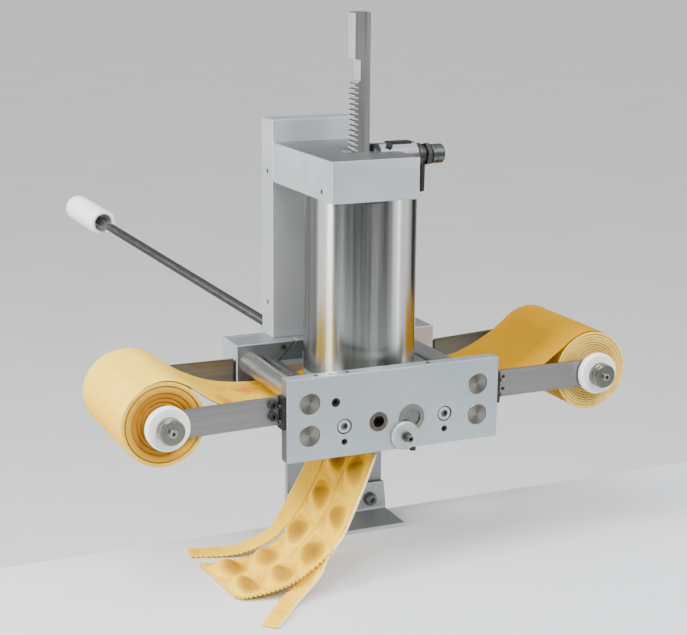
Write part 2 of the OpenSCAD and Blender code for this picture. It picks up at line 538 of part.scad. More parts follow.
module tab_screws() color(blackened) {
  for (sx = [-1, 1], z = fr_rows) xcap(sx * (plate_w / 2 + tab_t), -127, z, 2.3, 2.2, 1.5, 8, -sx);
  for (z = re_rows) { xcap(house_x - rear_tab_t, re_row_y, z, 2.2, 2, 1.5, rear_tab_t + 1.2, 1); xcap(house_x + house_w + rear_tab_t, re_row_y, z, 2.2, 2, 1.5, rear_tab_t + 1.2, -1); }
  for (z = [155, 165.5]) ycap(-plate_w / 2 - tab_t - 7, arm_y[0], z, 4.1, 3.6, 2.3, 6);
  for (z = [154, 165.5]) ycap(plate_w / 2 + tab_t + 7, arm_y[0] + 0.1, z, 1.6, 0.3, 1.55, 5.8);
  for (z = [150.2, 162.2]) ycyl(house_x - rear_tab_t - 7, z, 1.6, arm_y[1] + 1.4, arm_y[1] + 6);
  for (z = [148.4, 160.4]) ycyl(house_x + house_w + rear_tab_t + 7, z, 1.6, arm_y[1] + 1.4, arm_y[1] + 6);
}

module spindle(sx) {
  ycyl(axle_x(sx), axle_z(sx), 6, front_y0 - 8, 30);
  difference() { ycyl(axle_x(sx), axle_z(sx), 11, -117.5, 5); ycyl(axle_x(sx), axle_z(sx), 6 - E, -118, 6); }
  ycyl(axle_x(sx), axle_z(sx), 9, 22.5, 28);
}
module spindle_left() color(steel) spindle(-1);
module spindle_right() color(steel) spindle(1);
module flange(sx) difference() {
  yturn(axle_x(sx), -131.5, axle_z(sx), [[0, 0], [disc_d / 2 - 1.2, 0], [disc_d / 2, 1.2], [disc_d / 2, 6.4], [disc_d / 2 - 0.6, 7], [0, 7]]);
  ycyl(axle_x(sx), axle_z(sx), 6, -140, -120);
}
module flange_left() color(nylon) flange(-1);
module flange_right() color(nylon) flange(1);
module knob(sx) difference() {
  yturn(axle_x(sx), -145, axle_z(sx), [[0, 0], [3.2, 0], [3.6, 0.4], [3.6, 3], [10.2, 3], [11.5, 4.3], [11.5, 6.8], [10.9, 7.3], [10.9, 8.5], [11.5, 9], [11.5, 12.6], [10.6, 13.5], [0, 13.5]]);
  ycyl(axle_x(sx), axle_z(sx), 6, -140, -130);
  ycyl(axle_x(sx), axle_z(sx), 1.7, -146, -141);
}
module spindle_knob_left() color(steel) knob(-1);
module spindle_knob_right() color(steel) knob(1);

// ---------- crank ----------
module on_rod(s) translate(rod_base) rotate([0, 0, rod_az]) rotate([0, rod_el, 0]) translate([0, 0, s]) children();
module crank_arm() color(steel) difference() {
  d = [rod_base[0] - roll_x, rod_base[2] - roll_z];
  a = atan2(d[1], d[0]);
  l = norm(d);
  union() {
    ycyl(roll_x, roll_z, 15, 64, crank_y1);
    translate([roll_x, crank_y1, roll_z]) rotate([90, 0, 0]) rotate([0, 0, a]) linear_extrude(crank_y1 - crank_y0) {
      translate([0, -9]) square([l, 18]);
      translate([l, 0]) circle(r = 9);
    }
  }
  ycyl(roll_x, roll_z, 7, 60, crank_y1 + 5);
  on_rod(-20) cylinder(h = 60, r = rod_d / 2);
  ycyl(roll_x, roll_z, 7, 60, 100);
}
module crank_rod() color(steel) on_rod(-5) cylinder(h = rod_len + 5, r = rod_d / 2);
module crank_grip() color(nylon) on_rod(405) rotate_extrude()
  polygon([[rod_d / 2 + run_fit, 26], [11, 26], [11, 0.8], [11.8, 0], [grip_d / 2 - 1.2, 0], [grip_d / 2, 1.4], [grip_d / 2, grip_len - 10],
           [grip_d / 2 - 1.4, grip_len - 5.5], [grip_d / 2 - 4.5, grip_len - 2], [grip_d / 2 - 9, grip_len], [0, grip_len], [0, rod_len - 405 + 0.5], [rod_d / 2 + run_fit, rod_len - 405 + 0.5]]);

// ---------- dough ----------
module dough_roll(sx) color(dough) difference() {
  ycyl(axle_x(sx), axle_z(sx), dough_r, -117, 4);
  ycyl(axle_x(sx), axle_z(sx), 11, -118, 6);
}
module dough_roll_left() dough_roll(-1);
module dough_roll_right() dough_roll(1);
// sheet that runs from the roll's top, between the tie bars, over the die roll
function follow(p, sx) = let (k = max(0, min(1, (p[0] - 100) / 90))) [sx * p[0] + 1.75 * k, p[1] + (0.5 + sx * 1.1) * k];
module sheet_path(sx, pts, t) rotate([90, 0, 0]) linear_extrude(116)
  polygon(concat([for (p = pts) follow(p, sx)], [for (i = [len(pts) - 1:-1:0]) follow(pts[i], sx) - [0, t]]));
sheet_pts = [[210, 198.6], [200, 196.4], [190, 190.6], [180, 182.8], [168, 174.4], [154, 167], [140, 160.8], [126, 156.4], [110, 153.6], [95, 152.2],
             [83.5, 152], [70, 152.4], [55, 154], [42, 156.4], [32, 158.4], [25, 159.3], [18, 159.6]];
module dough_sheet(sx) color(dough) translate([0, -1, 0]) {
  sheet_path(sx, sheet_pts, 2.2);
  translate([sx * roll_x, 0, roll_z]) rotate([90, 0, 0]) linear_extrude(116) intersection() {
    difference() { circle(r = roll_r + 2.5); circle(r = roll_r + 0.35); }
    polygon([for (p = [[0, 0], [12, 36], [0.15 - roll_x, 36], [0.15 - roll_x, 3]]) [sx * p[0], p[1]]]);
  }
}
module dough_sheet_left() dough_sheet(-1);
module dough_sheet_right() dough_sheet(1);
// pressed strip: falls from the nip, swings to the left and lies on the table.
// Each station is the middle of the strip and how far its cross line leans in X and Z.
strip_t = 2.2;
stations = [[0, -59, 131, 0.005, 0], [0, -59, 125, 0.011, 0], [-8.2, -61.9, 108.7, 0.06, 0.066], [-19.8, -68.4, 94.1, 0.039, 0.122],
            [-31.1, -75.8, 80.7, 0.032, 0.169], [-42.8, -84.5, 67.6, 0.044, 0.212], [-54.7, -93.6, 55.5, 0.059, 0.249], [-67.9, -102, 44.3, 0.09, 0.268],
            [-82.8, -108, 33.8, 0.177, 0.244], [-97.9, -112.2, 22.2, 0.229, 0.144], [-114.9, -111.3, 12.6, 0.193, 0.049],
            [-132.6, -107, 6.8, 0.149, 0.014], [-150.2, -100.8, 2.6, 0.092, 0], [-163.2, -89.6, 1.5, -0.055, 0]];
function across(s, d) = let (w = [s[3], 1, s[4]]) [s[0], s[1], s[2]] + w * d / norm(w);
// band between the two lines a and b
module ribbon(a, b) for (i = [0:len(a) - 2]) hull() for (p = [a[i], a[i + 1], b[i], b[i + 1]]) translate(p) cube(strip_t, center = true);
far_out = [[-93, -59, 25], [-106.3, -48.2, 12], [-125.7, -40.4, 5], [-142.5, -29.6, 1.4], [-161.9, -24.2, 1.2]];
far_in = [[-89, -79, 29], [-105, -70, 14], [-123.4, -61.6, 5], [-144.7, -52.5, 1.4], [-165.1, -43.7, 1.2]];
near_out = [[-75.8, -154.5, 25], [-92.5, -167.5, 12], [-121, -186, 1.6], [-145.2, -216.4, 1.2]];
near_in = [[-74, -147.5, 27], [-97, -154, 13], [-117.9, -165, 1.8], [-160.5, -209.8, 1.2]];
module ravioli_strip() color(dough) {
  ribbon([for (s = stations) across(s, 27)], [for (s = stations) across(s, -53)]);
  // trimmed edges of the sheets, which part from the strip lower down
  ribbon(concat([for (i = [0:8]) across(stations[i], 57)], far_out), concat([for (i = [0:8]) across(stations[i], 27)], far_in));
  ribbon(concat([for (i = [2:6]) across(stations[i], -52)], near_in), concat([for (i = [2:6]) across(stations[i], -57)], near_out));
}

front_plate();
support_plate();
gear_housing();
housing_cover();
cover_screws();
column();
top_block();
tie_bars();
filling_cylinder();
cylinder_lid();
hopper_base();
piston();
piston_seal();
rack_bar();
feed_pinion();
pinion_shaft();
pinion_bushes();
brake_barrel();
barrel_collar();
barrel_strip();
brake_plunger();
brake_spring();
brake_nut();
tension_knob();
release_lever();
die_roll_left();
die_roll_right();
roll_gear_left();
roll_gear_right();
front_bush_left();
front_bush_right();
rear_bushes();
clamp_disc();
clamp_stud();
scraper_blades();
guide_bars();
cap_screws();
set_screws();
foot_bracket();
bracket_bolts();
arm_front_left();
arm_front_right();
arm_rear_left();
arm_rear_right();
arm_tabs();
tab_screws();
spindle_left();
spindle_right();
flange_left();
flange_right();
spindle_knob_left();
spindle_knob_right();
crank_arm();
crank_rod();
crank_grip();
dough_roll_left();
dough_roll_right();
dough_sheet_left();
dough_sheet_right();
ravioli_strip();
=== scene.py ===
import bpy, bmesh, json, math
import numpy as np
from mathutils import Vector, Matrix, noise as mnoise


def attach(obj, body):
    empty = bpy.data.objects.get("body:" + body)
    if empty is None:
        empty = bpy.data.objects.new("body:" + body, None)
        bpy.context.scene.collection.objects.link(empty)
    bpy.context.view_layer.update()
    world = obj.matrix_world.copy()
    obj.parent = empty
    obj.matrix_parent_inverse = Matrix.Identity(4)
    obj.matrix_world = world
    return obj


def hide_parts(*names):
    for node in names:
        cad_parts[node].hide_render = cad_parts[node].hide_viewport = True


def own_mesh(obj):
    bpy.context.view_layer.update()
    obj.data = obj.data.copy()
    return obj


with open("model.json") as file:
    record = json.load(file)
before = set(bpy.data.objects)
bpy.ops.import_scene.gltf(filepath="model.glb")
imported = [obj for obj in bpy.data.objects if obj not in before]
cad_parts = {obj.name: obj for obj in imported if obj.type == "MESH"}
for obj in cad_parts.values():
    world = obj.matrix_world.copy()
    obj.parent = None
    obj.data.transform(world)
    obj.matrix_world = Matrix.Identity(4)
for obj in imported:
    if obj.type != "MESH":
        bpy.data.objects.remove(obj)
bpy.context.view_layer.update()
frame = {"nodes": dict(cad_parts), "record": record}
nodes = frame["nodes"]
SLOT = {s["node"]: s["material_slot"] for s in frame["record"]["subparts"]}
MM = 0.001
rng = np.random.default_rng(7)


# ------------------------------------------------------------------ materials
class M:
    """A small wrapper that builds a node material."""

    def __init__(self, name, **kw):
        self.m = bpy.data.materials.new(name)
        self.m.use_nodes = True
        self.nt = self.m.node_tree
        self.nt.nodes.clear()
        self.out = self.nt.nodes.new("ShaderNodeOutputMaterial")
        self.b = self.nt.nodes.new("ShaderNodeBsdfPrincipled")
        self.nt.links.new(self.b.outputs["BSDF"], self.out.inputs["Surface"])
        for k, v in kw.items():
            self.b.inputs[k.replace("_", " ")].default_value = v
        self.tc = self.nt.nodes.new("ShaderNodeTexCoord")
        self.bump_in = None

    def link(self, a, b):
        self.nt.links.new(a, b)

    def coords(self, scale=(1, 1, 1), rot=(0, 0, 0)):
        mp = self.nt.nodes.new("ShaderNodeMapping")
        mp.inputs["Scale"].default_value = scale
        mp.inputs["Rotation"].default_value = rot
        self.link(self.tc.outputs["Object"], mp.inputs["Vector"])
        return mp.outputs["Vector"]

    def noise(self, scale, detail=2.0, rough=0.5, stretch=(1, 1, 1), distort=0.0):
        n = self.nt.nodes.new("ShaderNodeTexNoise")
        n.inputs["Scale"].default_value = scale
        n.inputs["Detail"].default_value = detail
        n.inputs["Roughness"].default_value = rough
        n.inputs["Distortion"].default_value = distort
        self.link(self.coords(stretch), n.inputs["Vector"])
        return n.outputs["Fac"]

    def voronoi(self, scale, feature="F1"):
        n = self.nt.nodes.new("ShaderNodeTexVoronoi")
        n.feature = feature
        n.inputs["Scale"].default_value = scale
        self.link(self.coords(), n.inputs["Vector"])
        return n.outputs["Distance"]

    def ramp(self, fac, stops, interp="LINEAR"):
        r = self.nt.nodes.new("ShaderNodeValToRGB")
        r.color_ramp.interpolation = interp
        el = r.color_ramp.elements
        while len(el) < len(stops):
            el.new(0.5)
        for e, (p, c) in zip(el, stops):
            e.position = p
            e.color = (*c, 1) if hasattr(c, "__len__") else (c, c, c, 1)
        self.link(fac, r.inputs["Fac"])
        return r.outputs["Color"]

    def rng(self, fac, lo, hi, a=0.3, b=0.7):
        r = self.nt.nodes.new("ShaderNodeMapRange")
        for k, v in zip(("From Min", "From Max", "To Min", "To Max"), (a, b, lo, hi)):
            r.inputs[k].default_value = v
        self.link(fac, r.inputs["Value"])
        return r.outputs["Result"]

    def mix(self, fac, a, b, mode="MIX"):
        x = self.nt.nodes.new("ShaderNodeMix")
        x.data_type = "RGBA"
        x.blend_type = mode
        ins = [i for i in x.inputs if i.enabled]
        self._set(ins[0], fac)
        self._set(ins[1], a)
        self._set(ins[2], b)
        return [o for o in x.outputs if o.enabled][0]

    def _set(self, sock, v):
        if isinstance(v, bpy.types.NodeSocket):
            self.link(v, sock)
        elif hasattr(v, "__len__"):
            sock.default_value = (*v, 1)
        else:
            sock.default_value = v

    def math(self, op, a, b=None, c=None):
        x = self.nt.nodes.new("ShaderNodeMath")
        x.operation = op
        for s, v in zip(x.inputs, (a, b, c)):
            if v is not None:
                self._set(s, v)
        return x.outputs[0]

    def xyz(self, sock=None):
        s = self.nt.nodes.new("ShaderNodeSeparateXYZ")
        self.link(sock or self.tc.outputs["Object"], s.inputs[0])
        return s.outputs

    def normal_xyz(self):
        return self.xyz(self.tc.outputs["Normal"])

    def bump(self, fac, strength, distance):
        b = self.nt.nodes.new("ShaderNodeBump")
        b.inputs["Strength"].default_value = strength
        b.inputs["Distance"].default_value = distance
        self.link(fac, b.inputs["Height"])
        if self.bump_in is not None:
            self.link(self.bump_in, b.inputs["Normal"])
        self.bump_in = b.outputs["Normal"]
        for n in self.nt.nodes:
            if n.bl_idname == "ShaderNodeBsdfPrincipled":
                self.link(self.bump_in, n.inputs["Normal"])

    def color(self, sock):
        self.link(sock, self.b.inputs["Base Color"])

    def rough(self, sock):
        self.link(sock, self.b.inputs["Roughness"])


def anodised(name, lo, hi, metallic=0.55, grain=1.0, stretch=(1, 1, 1), top=0.55, front=1.0, side=1.0, painted_light_past_x=None):
    m = M(name, Metallic=metallic, IOR=1.5)
    cloud = m.noise(9, 3, 0.55)
    fine = m.noise(520, 2, 0.6, stretch)
    marks = m.noise(60, 3, 0.6, tuple(0.08 if s < 1 else 1 for s in stretch) if stretch != (1, 1, 1) else (0.1, 1, 1))
    base = m.mix(m.rng(cloud, 0, 1), lo, hi)
    base = m.mix(m.rng(fine, 0, 0.16), base, tuple(c * 0.80 for c in lo))
    # painted shade: faces turned up, towards -y and towards -x are painted darker; top, front and side give how much
    # colour each keeps
    nx, ny, nz_ = m.normal_xyz()
    base = m.mix(m.rng(nz_, 0, 1 - top, 0.6, 0.95), base, (0, 0, 0))
    front_painted_shade = m.rng(ny, 1 - front, 0, -0.95, -0.6)
    if painted_light_past_x:                                             # painted light: the front face is painted lighter past this x
        front_painted_shade = m.math("MULTIPLY", front_painted_shade, m.rng(m.xyz()[0], 1.0, 0.0, *painted_light_past_x))
    base = m.mix(front_painted_shade, base, (0, 0, 0))
    base = m.mix(m.rng(nx, 1 - side, 0, -0.95, -0.6), base, (0, 0, 0))
    m.color(base)
    m.rough(m.math("ADD", m.rng(cloud, 0.36, 0.46), m.rng(marks, -0.03, 0.05)))
    m.bump(fine, 0.10 * grain, 0.0002)
    m.bump(marks, 0.05 * grain, 0.0002)
    return m.m


def brushed(name, col, axis, rough=(0.24, 0.36), metallic=1.0, strength=0.10, scale=420):
    st = [1.0, 1.0, 1.0]
    st[axis] = 0.02
    m = M(name, Metallic=metallic)
    line = m.noise(scale, 2, 0.6, tuple(st))
    cloud = m.noise(14, 3, 0.6)
    dark = tuple(c * 0.80 for c in col)
    c = m.mix(m.rng(line, 0, 1), dark, col)
    c = m.mix(m.rng(cloud, 0, 0.22), c, tuple(x * 0.72 for x in col))
    m.color(c)
    m.rough(m.math("ADD", m.rng(line, rough[0], rough[1]), m.rng(cloud, -0.04, 0.06)))
    m.bump(line, strength, 0.0002)
    return m


def make_materials():
    out = {}
    # the anodised finishes below carry painted shade on faces turned up, to -y and to -x, and painted light on the
    # housing front past an x
    out["anodised_aluminium"] = anodised("anodised_aluminium", (0.50, 0.545, 0.585), (0.575, 0.615, 0.65), top=0.21)
    out["anodised_front"] = anodised("anodised_front", (0.345, 0.39, 0.42), (0.405, 0.445, 0.475), metallic=0.5, top=0.85, side=0.42)
    out["anodised_housing"] = anodised("anodised_housing", (0.42, 0.45, 0.47), (0.49, 0.52, 0.545), metallic=0.5, top=0.55, front=0.27, painted_light_past_x=(0.030, 0.062))
    out["anodised_column"] = anodised("anodised_column", (0.50, 0.54, 0.58), (0.575, 0.61, 0.645), top=0.7, front=0.95)
    # painted shade: the hopper base is painted dark all over because it stands in shade, and its tops darker still
    out["anodised_painted_shade"] = anodised("anodised_painted_shade", (0.20, 0.22, 0.225), (0.25, 0.27, 0.275), metallic=0.5, top=0.6)
    out["anodised_leg"] = anodised("anodised_leg", (0.36, 0.40, 0.43), (0.42, 0.46, 0.49), metallic=0.5, front=0.8)

    # polished tube: mirror with fine drawing lines along its length
    m = M("polished_tube", Metallic=1.0)
    st = m.noise(260, 3, 0.6, (1, 1, 0.012))
    cl = m.noise(10, 3, 0.5, (1, 1, 0.35))
    m.color(m.mix(m.rng(st, 0, 1), (0.33, 0.345, 0.325), (0.45, 0.46, 0.445)))
    m.rough(m.math("ADD", m.rng(st, 0.17, 0.215), m.rng(cl, -0.015, 0.015)))
    tg_ = m.nt.nodes.new("ShaderNodeTangent")
    tg_.direction_type = "RADIAL"
    tg_.axis = "Z"
    m.link(tg_.outputs[0], m.b.inputs["Tangent"])
    m.b.inputs["Anisotropic"].default_value = 0.97
    m.b.inputs["Anisotropic Rotation"].default_value = 0.25
    m.bump(st, 0.05, 0.0003)
    out["polished_tube"] = m.m
    m = M("polished_steel", Metallic=1.0)
    st = m.noise(300, 3, 0.6, (0.03, 1, 1))
    m.color(m.mix(m.rng(st, 0, 1), (0.70, 0.70, 0.71), (0.82, 0.82, 0.83)))
    m.rough(m.rng(st, 0.10, 0.20))
    m.bump(st, 0.05, 0.0002)
    out["polished_steel"] = m.m

    steel = (0.52, 0.51, 0.49)
    for i, ax in enumerate("xyz"):
        out["steel_" + ax] = brushed("steel_" + ax, steel, i).m
    m = brushed("rack_steel", (0.30, 0.30, 0.295), 2, (0.34, 0.46), 0.9)
    # painted light: faces turned towards -x are painted lighter
    nx, ny, nz_ = m.normal_xyz()
    m.color(m.mix(m.rng(nx, 1, 0, -0.95, -0.7), m.b.inputs["Base Color"].links[0].from_socket, (0.80, 0.79, 0.78)))
    out["rack_steel"] = m.m
    out["arm_steel"] = brushed("arm_steel", (0.26, 0.26, 0.247), 0, (0.36, 0.50), 0.85, 0.12).m
    out["arm_rear_steel"] = brushed("arm_rear_steel", (0.15, 0.145, 0.115), 0, (0.36, 0.50), 0.85, 0.12).m
    out["rod_steel"] = brushed("rod_steel", (0.15, 0.15, 0.14), 1, (0.22, 0.34), 0.95).m
    out["ring_steel"] = brushed("ring_steel", (0.24, 0.225, 0.20), 0, (0.30, 0.42), 0.95).m
    m = brushed("die_steel", (0.50, 0.49, 0.46), 1, (0.26, 0.38), 0.95)
    # painted shade: the front end of the roll, seen inside the bush, is painted near black
    x, y, z = m.xyz()
    m.color(m.mix(m.rng(y, 1, 0, -0.1235, -0.1225), m.b.inputs["Base Color"].links[0].from_socket, (0.018, 0.016, 0.015)))
    out["die_steel"] = m.m
    m = brushed("nut_steel", (0.075, 0.072, 0.075), 0, (0.34, 0.46), 0.85)
    x, y, z = m.xyz()
    rim = m.math("LESS_THAN", m.math("ABSOLUTE", m.math("SUBTRACT", m.math("ABSOLUTE", m.math("SUBTRACT", x, 0.0615)), 0.0019)), 0.00055)
    m.color(m.mix(rim, m.b.inputs["Base Color"].links[0].from_socket, (0.006, 0.006, 0.007)))
    out["nut_steel"] = m.m
    out["journal_steel"] = brushed("journal_steel", (0.20, 0.205, 0.195), 1, (0.26, 0.38), 0.95).m
    out["stud_steel"] = brushed("stud_steel", (0.15, 0.14, 0.13), 1, (0.26, 0.38), 0.95).m
    out["bolt_steel"] = brushed("bolt_steel", (0.20, 0.215, 0.22), 1, (0.26, 0.38), 0.9).m
    out["lever_steel"] = brushed("lever_steel", (0.05, 0.05, 0.052), 2, (0.36, 0.48), 0.6).m

    # tie bars: ground along their length, with turned rings on the ends and a painted highlight fan on each end face
    m = M("tie_bar_steel", Metallic=1.0)
    x, y, z = m.xyz()
    u = m.math("SUBTRACT", m.math("ABSOLUTE", x), 0.0835)
    v = m.math("SUBTRACT", m.math("ABSOLUTE", m.math("SUBTRACT", z, 0.15005)), 0.01465)
    rr = m.math("SQRT", m.math("ADD", m.math("MULTIPLY", u, u), m.math("MULTIPLY", v, v)))
    ang = m.math("ARCTAN2", v, u)
    rings = m.math("SINE", m.math("MULTIPLY", rr, 9000.0))
    # painted highlight: a fan of lighter and darker sectors across each end face
    painted_highlight_fan = m.math("SINE", m.math("MULTIPLY_ADD", ang, 2.0, 0.9))
    face = m.rng(m.math("ABSOLUTE", m.normal_xyz()[1]), 0, 1, 0.7, 0.9)
    line = m.noise(420, 2, 0.6, (1, 0.02, 1))
    side = m.mix(m.rng(line, 0, 1), (0.40, 0.40, 0.39), (0.54, 0.54, 0.53))
    end = m.mix(m.rng(painted_highlight_fan, 0, 1, -1, 1), (0.088, 0.080, 0.068), (0.235, 0.222, 0.195))
    end = m.mix(m.rng(rings, 0, 0.26, -1, 1), end, (0.31, 0.297, 0.262))
    end = m.mix(m.rng(rr, 0, 0.75, 0.0090, 0.0099), end, (0.10, 0.09, 0.08))
    m.color(m.mix(face, side, end))
    m.rough(m.math("ADD", m.rng(line, 0.33, 0.42), m.math("MULTIPLY", face, 0.03)))
    m.bump(m.math("MULTIPLY", rings, face), 0.08, 0.0002)
    m.bump(line, 0.06, 0.0002)
    out["tie_bar_steel"] = m.m

    # zinc plate
    m = M("zinc_steel", Metallic=0.75)
    v = m.voronoi(150)
    n = m.noise(24, 4, 0.6)
    c = m.mix(m.rng(n, 0, 1), (0.40, 0.44, 0.45), (0.52, 0.56, 0.57))
    m.color(m.mix(m.rng(v, 0, 0.3, 0.1, 0.7), c, (0.60, 0.64, 0.64)))
    m.rough(m.rng(n, 0.34, 0.48))
    m.bump(n, 0.08, 0.0004)
    out["zinc_steel"] = m.m

    m = M("foot_zinc", Metallic=0.7)
    n = m.noise(24, 4, 0.6)
    f = m.noise(260, 3, 0.6)
    # painted shade: faces turned up are painted darker
    top_painted_shade = m.rng(m.normal_xyz()[2], 0, 0.75, 0.6, 0.95)
    c = m.mix(m.rng(n, 0, 1), (0.40, 0.45, 0.465), (0.52, 0.565, 0.58))
    c = m.mix(m.rng(f, 0, 0.25), c, (0.62, 0.66, 0.67))
    m.color(m.mix(top_painted_shade, c, (0.16, 0.185, 0.195)))
    m.rough(m.rng(n, 0.40, 0.52))
    m.bump(n, 0.08, 0.0004)
    m.bump(f, 0.05, 0.0002)
    out["foot_zinc"] = m.m
    m = M("cap_zinc", Metallic=0.75)
    n = m.noise(60, 3, 0.6)
    x, y, z = m.xyz()
    u = m.math("SUBTRACT", m.math("ABSOLUTE", x), 0.050)
    v = m.math("SUBTRACT", z, 0.140)
    rr = m.math("SQRT", m.math("ADD", m.math("MULTIPLY", u, u), m.math("MULTIPLY", v, v)))
    c = m.mix(m.rng(n, 0, 1), (0.44, 0.48, 0.49), (0.56, 0.60, 0.61))
    # painted shade: a darker disc at the middle stands for the shaded hex socket, and a near-black ring at the head's
    # edge for the shaded gap round it
    c = m.mix(m.rng(rr, 1, 0, 0.0034, 0.0038), c, (0.22, 0.235, 0.24))
    c = m.mix(m.math("MULTIPLY", m.rng(rr, 0, 1, 0.0057, 0.0061), 0.75), c, (0.03, 0.03, 0.03))
    m.color(c)
    m.rough(m.rng(n, 0.34, 0.48))
    m.bump(n, 0.08, 0.0004)
    out["cap_zinc"] = m.m
    m = M("satin_disc", Metallic=0.6)
    n = m.noise(30, 3, 0.6)
    f = m.noise(420, 2, 0.6)
    m.color(m.mix(m.rng(f, 0, 1), (0.37, 0.415, 0.40), (0.47, 0.515, 0.50)))
    m.rough(m.rng(n, 0.42, 0.52))
    m.bump(f, 0.06, 0.0002)
    out["satin_disc"] = m.m
    for nm, col, ax in (("knob_left", (0.215, 0.212, 0.180), (-0.21225, 0.1569)), ("knob_right", (0.165, 0.170, 0.145), (0.21575, 0.1591)), ("dark_knob", (0.115, 0.125, 0.125), None)):
        m = M(nm, Metallic=0.9)
        n = m.noise(60, 3, 0.6)
        x, y, z = m.xyz()
        if ax:
            u = m.math("SUBTRACT", x, ax[0])
            v = m.math("SUBTRACT", z, ax[1])
            rr = m.math("SQRT", m.math("ADD", m.math("MULTIPLY", u, u), m.math("MULTIPLY", v, v)))
            f = m.rng(m.math("SINE", m.math("MULTIPLY", rr, 5200.0)), 0, 1, -1, 1)
            hub = m.rng(rr, 1, 0, 0.0034, 0.0044)
            c = m.mix(f, tuple(q * 0.62 for q in col), tuple(q * 1.25 for q in col))
            c = m.mix(m.math("MULTIPLY", hub, 0.7), c, tuple(min(1, q * 2.2) for q in col))
        else:
            f = m.rng(m.math("SINE", m.math("MULTIPLY", x, 6400.0)), 0, 1, -1, 1)
            c = m.mix(f, tuple(q * 0.8 for q in col), tuple(q * 1.3 for q in col))
            c = m.mix(m.rng(x, 1, 0, 0.0697, 0.0700), c, (0.004, 0.004, 0.005))
        m.color(m.mix(m.rng(n, 0, 0.25), c, tuple(q * 0.7 for q in col)))
        m.rough(m.rng(n, 0.24, 0.36))
        m.bump(f, 0.10, 0.0002)
        out[nm] = m.m

    # black oxide
    m = M("blackened_steel", Metallic=0.45)
    n = m.noise(140, 3, 0.6)
    m.color(m.ramp(n, [(0.3, (0.012, 0.012, 0.013)), (0.62, (0.028, 0.028, 0.03)), (0.78, (0.07, 0.068, 0.065))]))
    m.rough(m.rng(n, 0.30, 0.46))
    m.bump(n, 0.10, 0.0003)
    out["blackened_steel"] = m.m

    # bronze
    m = M("bronze", Metallic=1.0)
    n = m.noise(30, 4, 0.6)
    f = m.noise(500, 2, 0.5, (1, 0.04, 1))
    m.color(m.mix(m.rng(n, 0, 1), (0.42, 0.30, 0.14), (0.58, 0.43, 0.21)))
    m.rough(m.rng(f, 0.26, 0.42))
    m.bump(f, 0.08, 0.0002)
    out["bronze"] = m.m
    m = M("dark_bush", Metallic=0.9)
    n = m.noise(300, 3, 0.6)
    m.color(m.mix(m.rng(n, 0, 1), (0.085, 0.072, 0.06), (0.15, 0.13, 0.11)))
    m.rough(m.rng(n, 0.36, 0.5))
    m.bump(n, 0.1, 0.0002)
    out["dark_bush"] = m.m

    # nylon: turned, slightly translucent
    m = M("white_nylon", IOR=1.53)
    m.b.inputs["Subsurface Weight"].default_value = 0.25
    m.b.inputs["Subsurface Radius"].default_value = (1.0, 0.9, 0.8)
    m.b.inputs["Subsurface Scale"].default_value = 0.003
    n = m.noise(40, 3, 0.6)
    f = m.noise(700, 2, 0.5, (1, 0.25, 1))
    m.color(m.mix(m.rng(n, 0, 1), (0.86, 0.86, 0.85), (0.94, 0.94, 0.94)))
    m.rough(m.rng(f, 0.34, 0.50))
    m.bump(f, 0.06, 0.0002)
    out["white_nylon"] = m.m

    m = M("seal_rubber")
    n = m.noise(300, 2, 0.5)
    m.color(m.mix(n, (0.02, 0.02, 0.02), (0.05, 0.05, 0.05)))
    m.rough(m.rng(n, 0.6, 0.8))
    m.bump(n, 0.1, 0.0003)
    out["seal_rubber"] = m.m

    def dough(name, pale, mid, deep, flour, sss=0.12, spec=0.2):
        m = M(name, IOR=1.4)
        m.b.inputs["Subsurface Weight"].default_value = sss
        m.b.inputs["Subsurface Radius"].default_value = (1.0, 0.5, 0.15)
        m.b.inputs["Subsurface Scale"].default_value = 0.004
        m.b.inputs["Specular IOR Level"].default_value = spec
        big = m.noise(16, 4, 0.6)
        med = m.noise(70, 4, 0.62, distort=0.4)
        fine = m.noise(480, 3, 0.65)
        spots = m.noise(190, 4, 0.7)
        tone = m.nt.nodes.new("ShaderNodeAttribute")
        tone.attribute_name = "tone"
        m.tone = tone.outputs["Fac"]
        c = m.mix(m.rng(big, 0, 1, 0.35, 0.66), mid, pale)
        c = m.mix(m.rng(med, 0, 0.62, 0.5, 0.72), c, deep)
        c = m.mix(m.rng(spots, 0, 0.35, 0.55, 0.76), c, flour)
        m.base = c
        m.color(c)
        m.rough(m.rng(med, 0.50, 0.68))
        m.bump(med, 0.22, 0.0012)
        m.bump(fine, 0.18, 0.0004)
        return m

    # left sheet: pale on the roll, deeper orange with random orange patches towards the rolls, partly painted shade
    # where the sheet hangs in shade
    m = dough("egg_dough", (0.92, 0.650, 0.088), (0.895, 0.590, 0.057), (0.85, 0.49, 0.026), (0.93, 0.70, 0.155))
    x, y, z = m.xyz()
    run = m.rng(x, 0, 1, -0.205, -0.150)
    patch = m.rng(m.noise(20, 4, 0.65), 0, 1, 0.50, 0.64)
    web = m.mix(patch, (0.75, 0.435, 0.010), (0.50, 0.195, 0.003))
    web = m.mix(m.rng(m.noise(120, 4, 0.7), 0, 0.30, 0.5, 0.75), web, (0.89, 0.66, 0.17))
    # painted shade: faces turned down are painted a deeper orange
    underside_painted_shade = m.rng(m.normal_xyz()[2], 0.95, 0, -0.45, 0.42)
    m.color(m.mix(run, m.mix(underside_painted_shade, m.base, (0.80, 0.385, 0.003)), web))
    out["egg_dough"] = m.m
    # right sheet: deep golden, with faces turned up painted a little lighter as painted light
    m = dough("golden_dough", (0.47, 0.225, 0.003), (0.42, 0.195, 0.002), (0.36, 0.150, 0.001), (0.58, 0.33, 0.02), 0.08, 0.06)
    x, y, z = m.xyz()
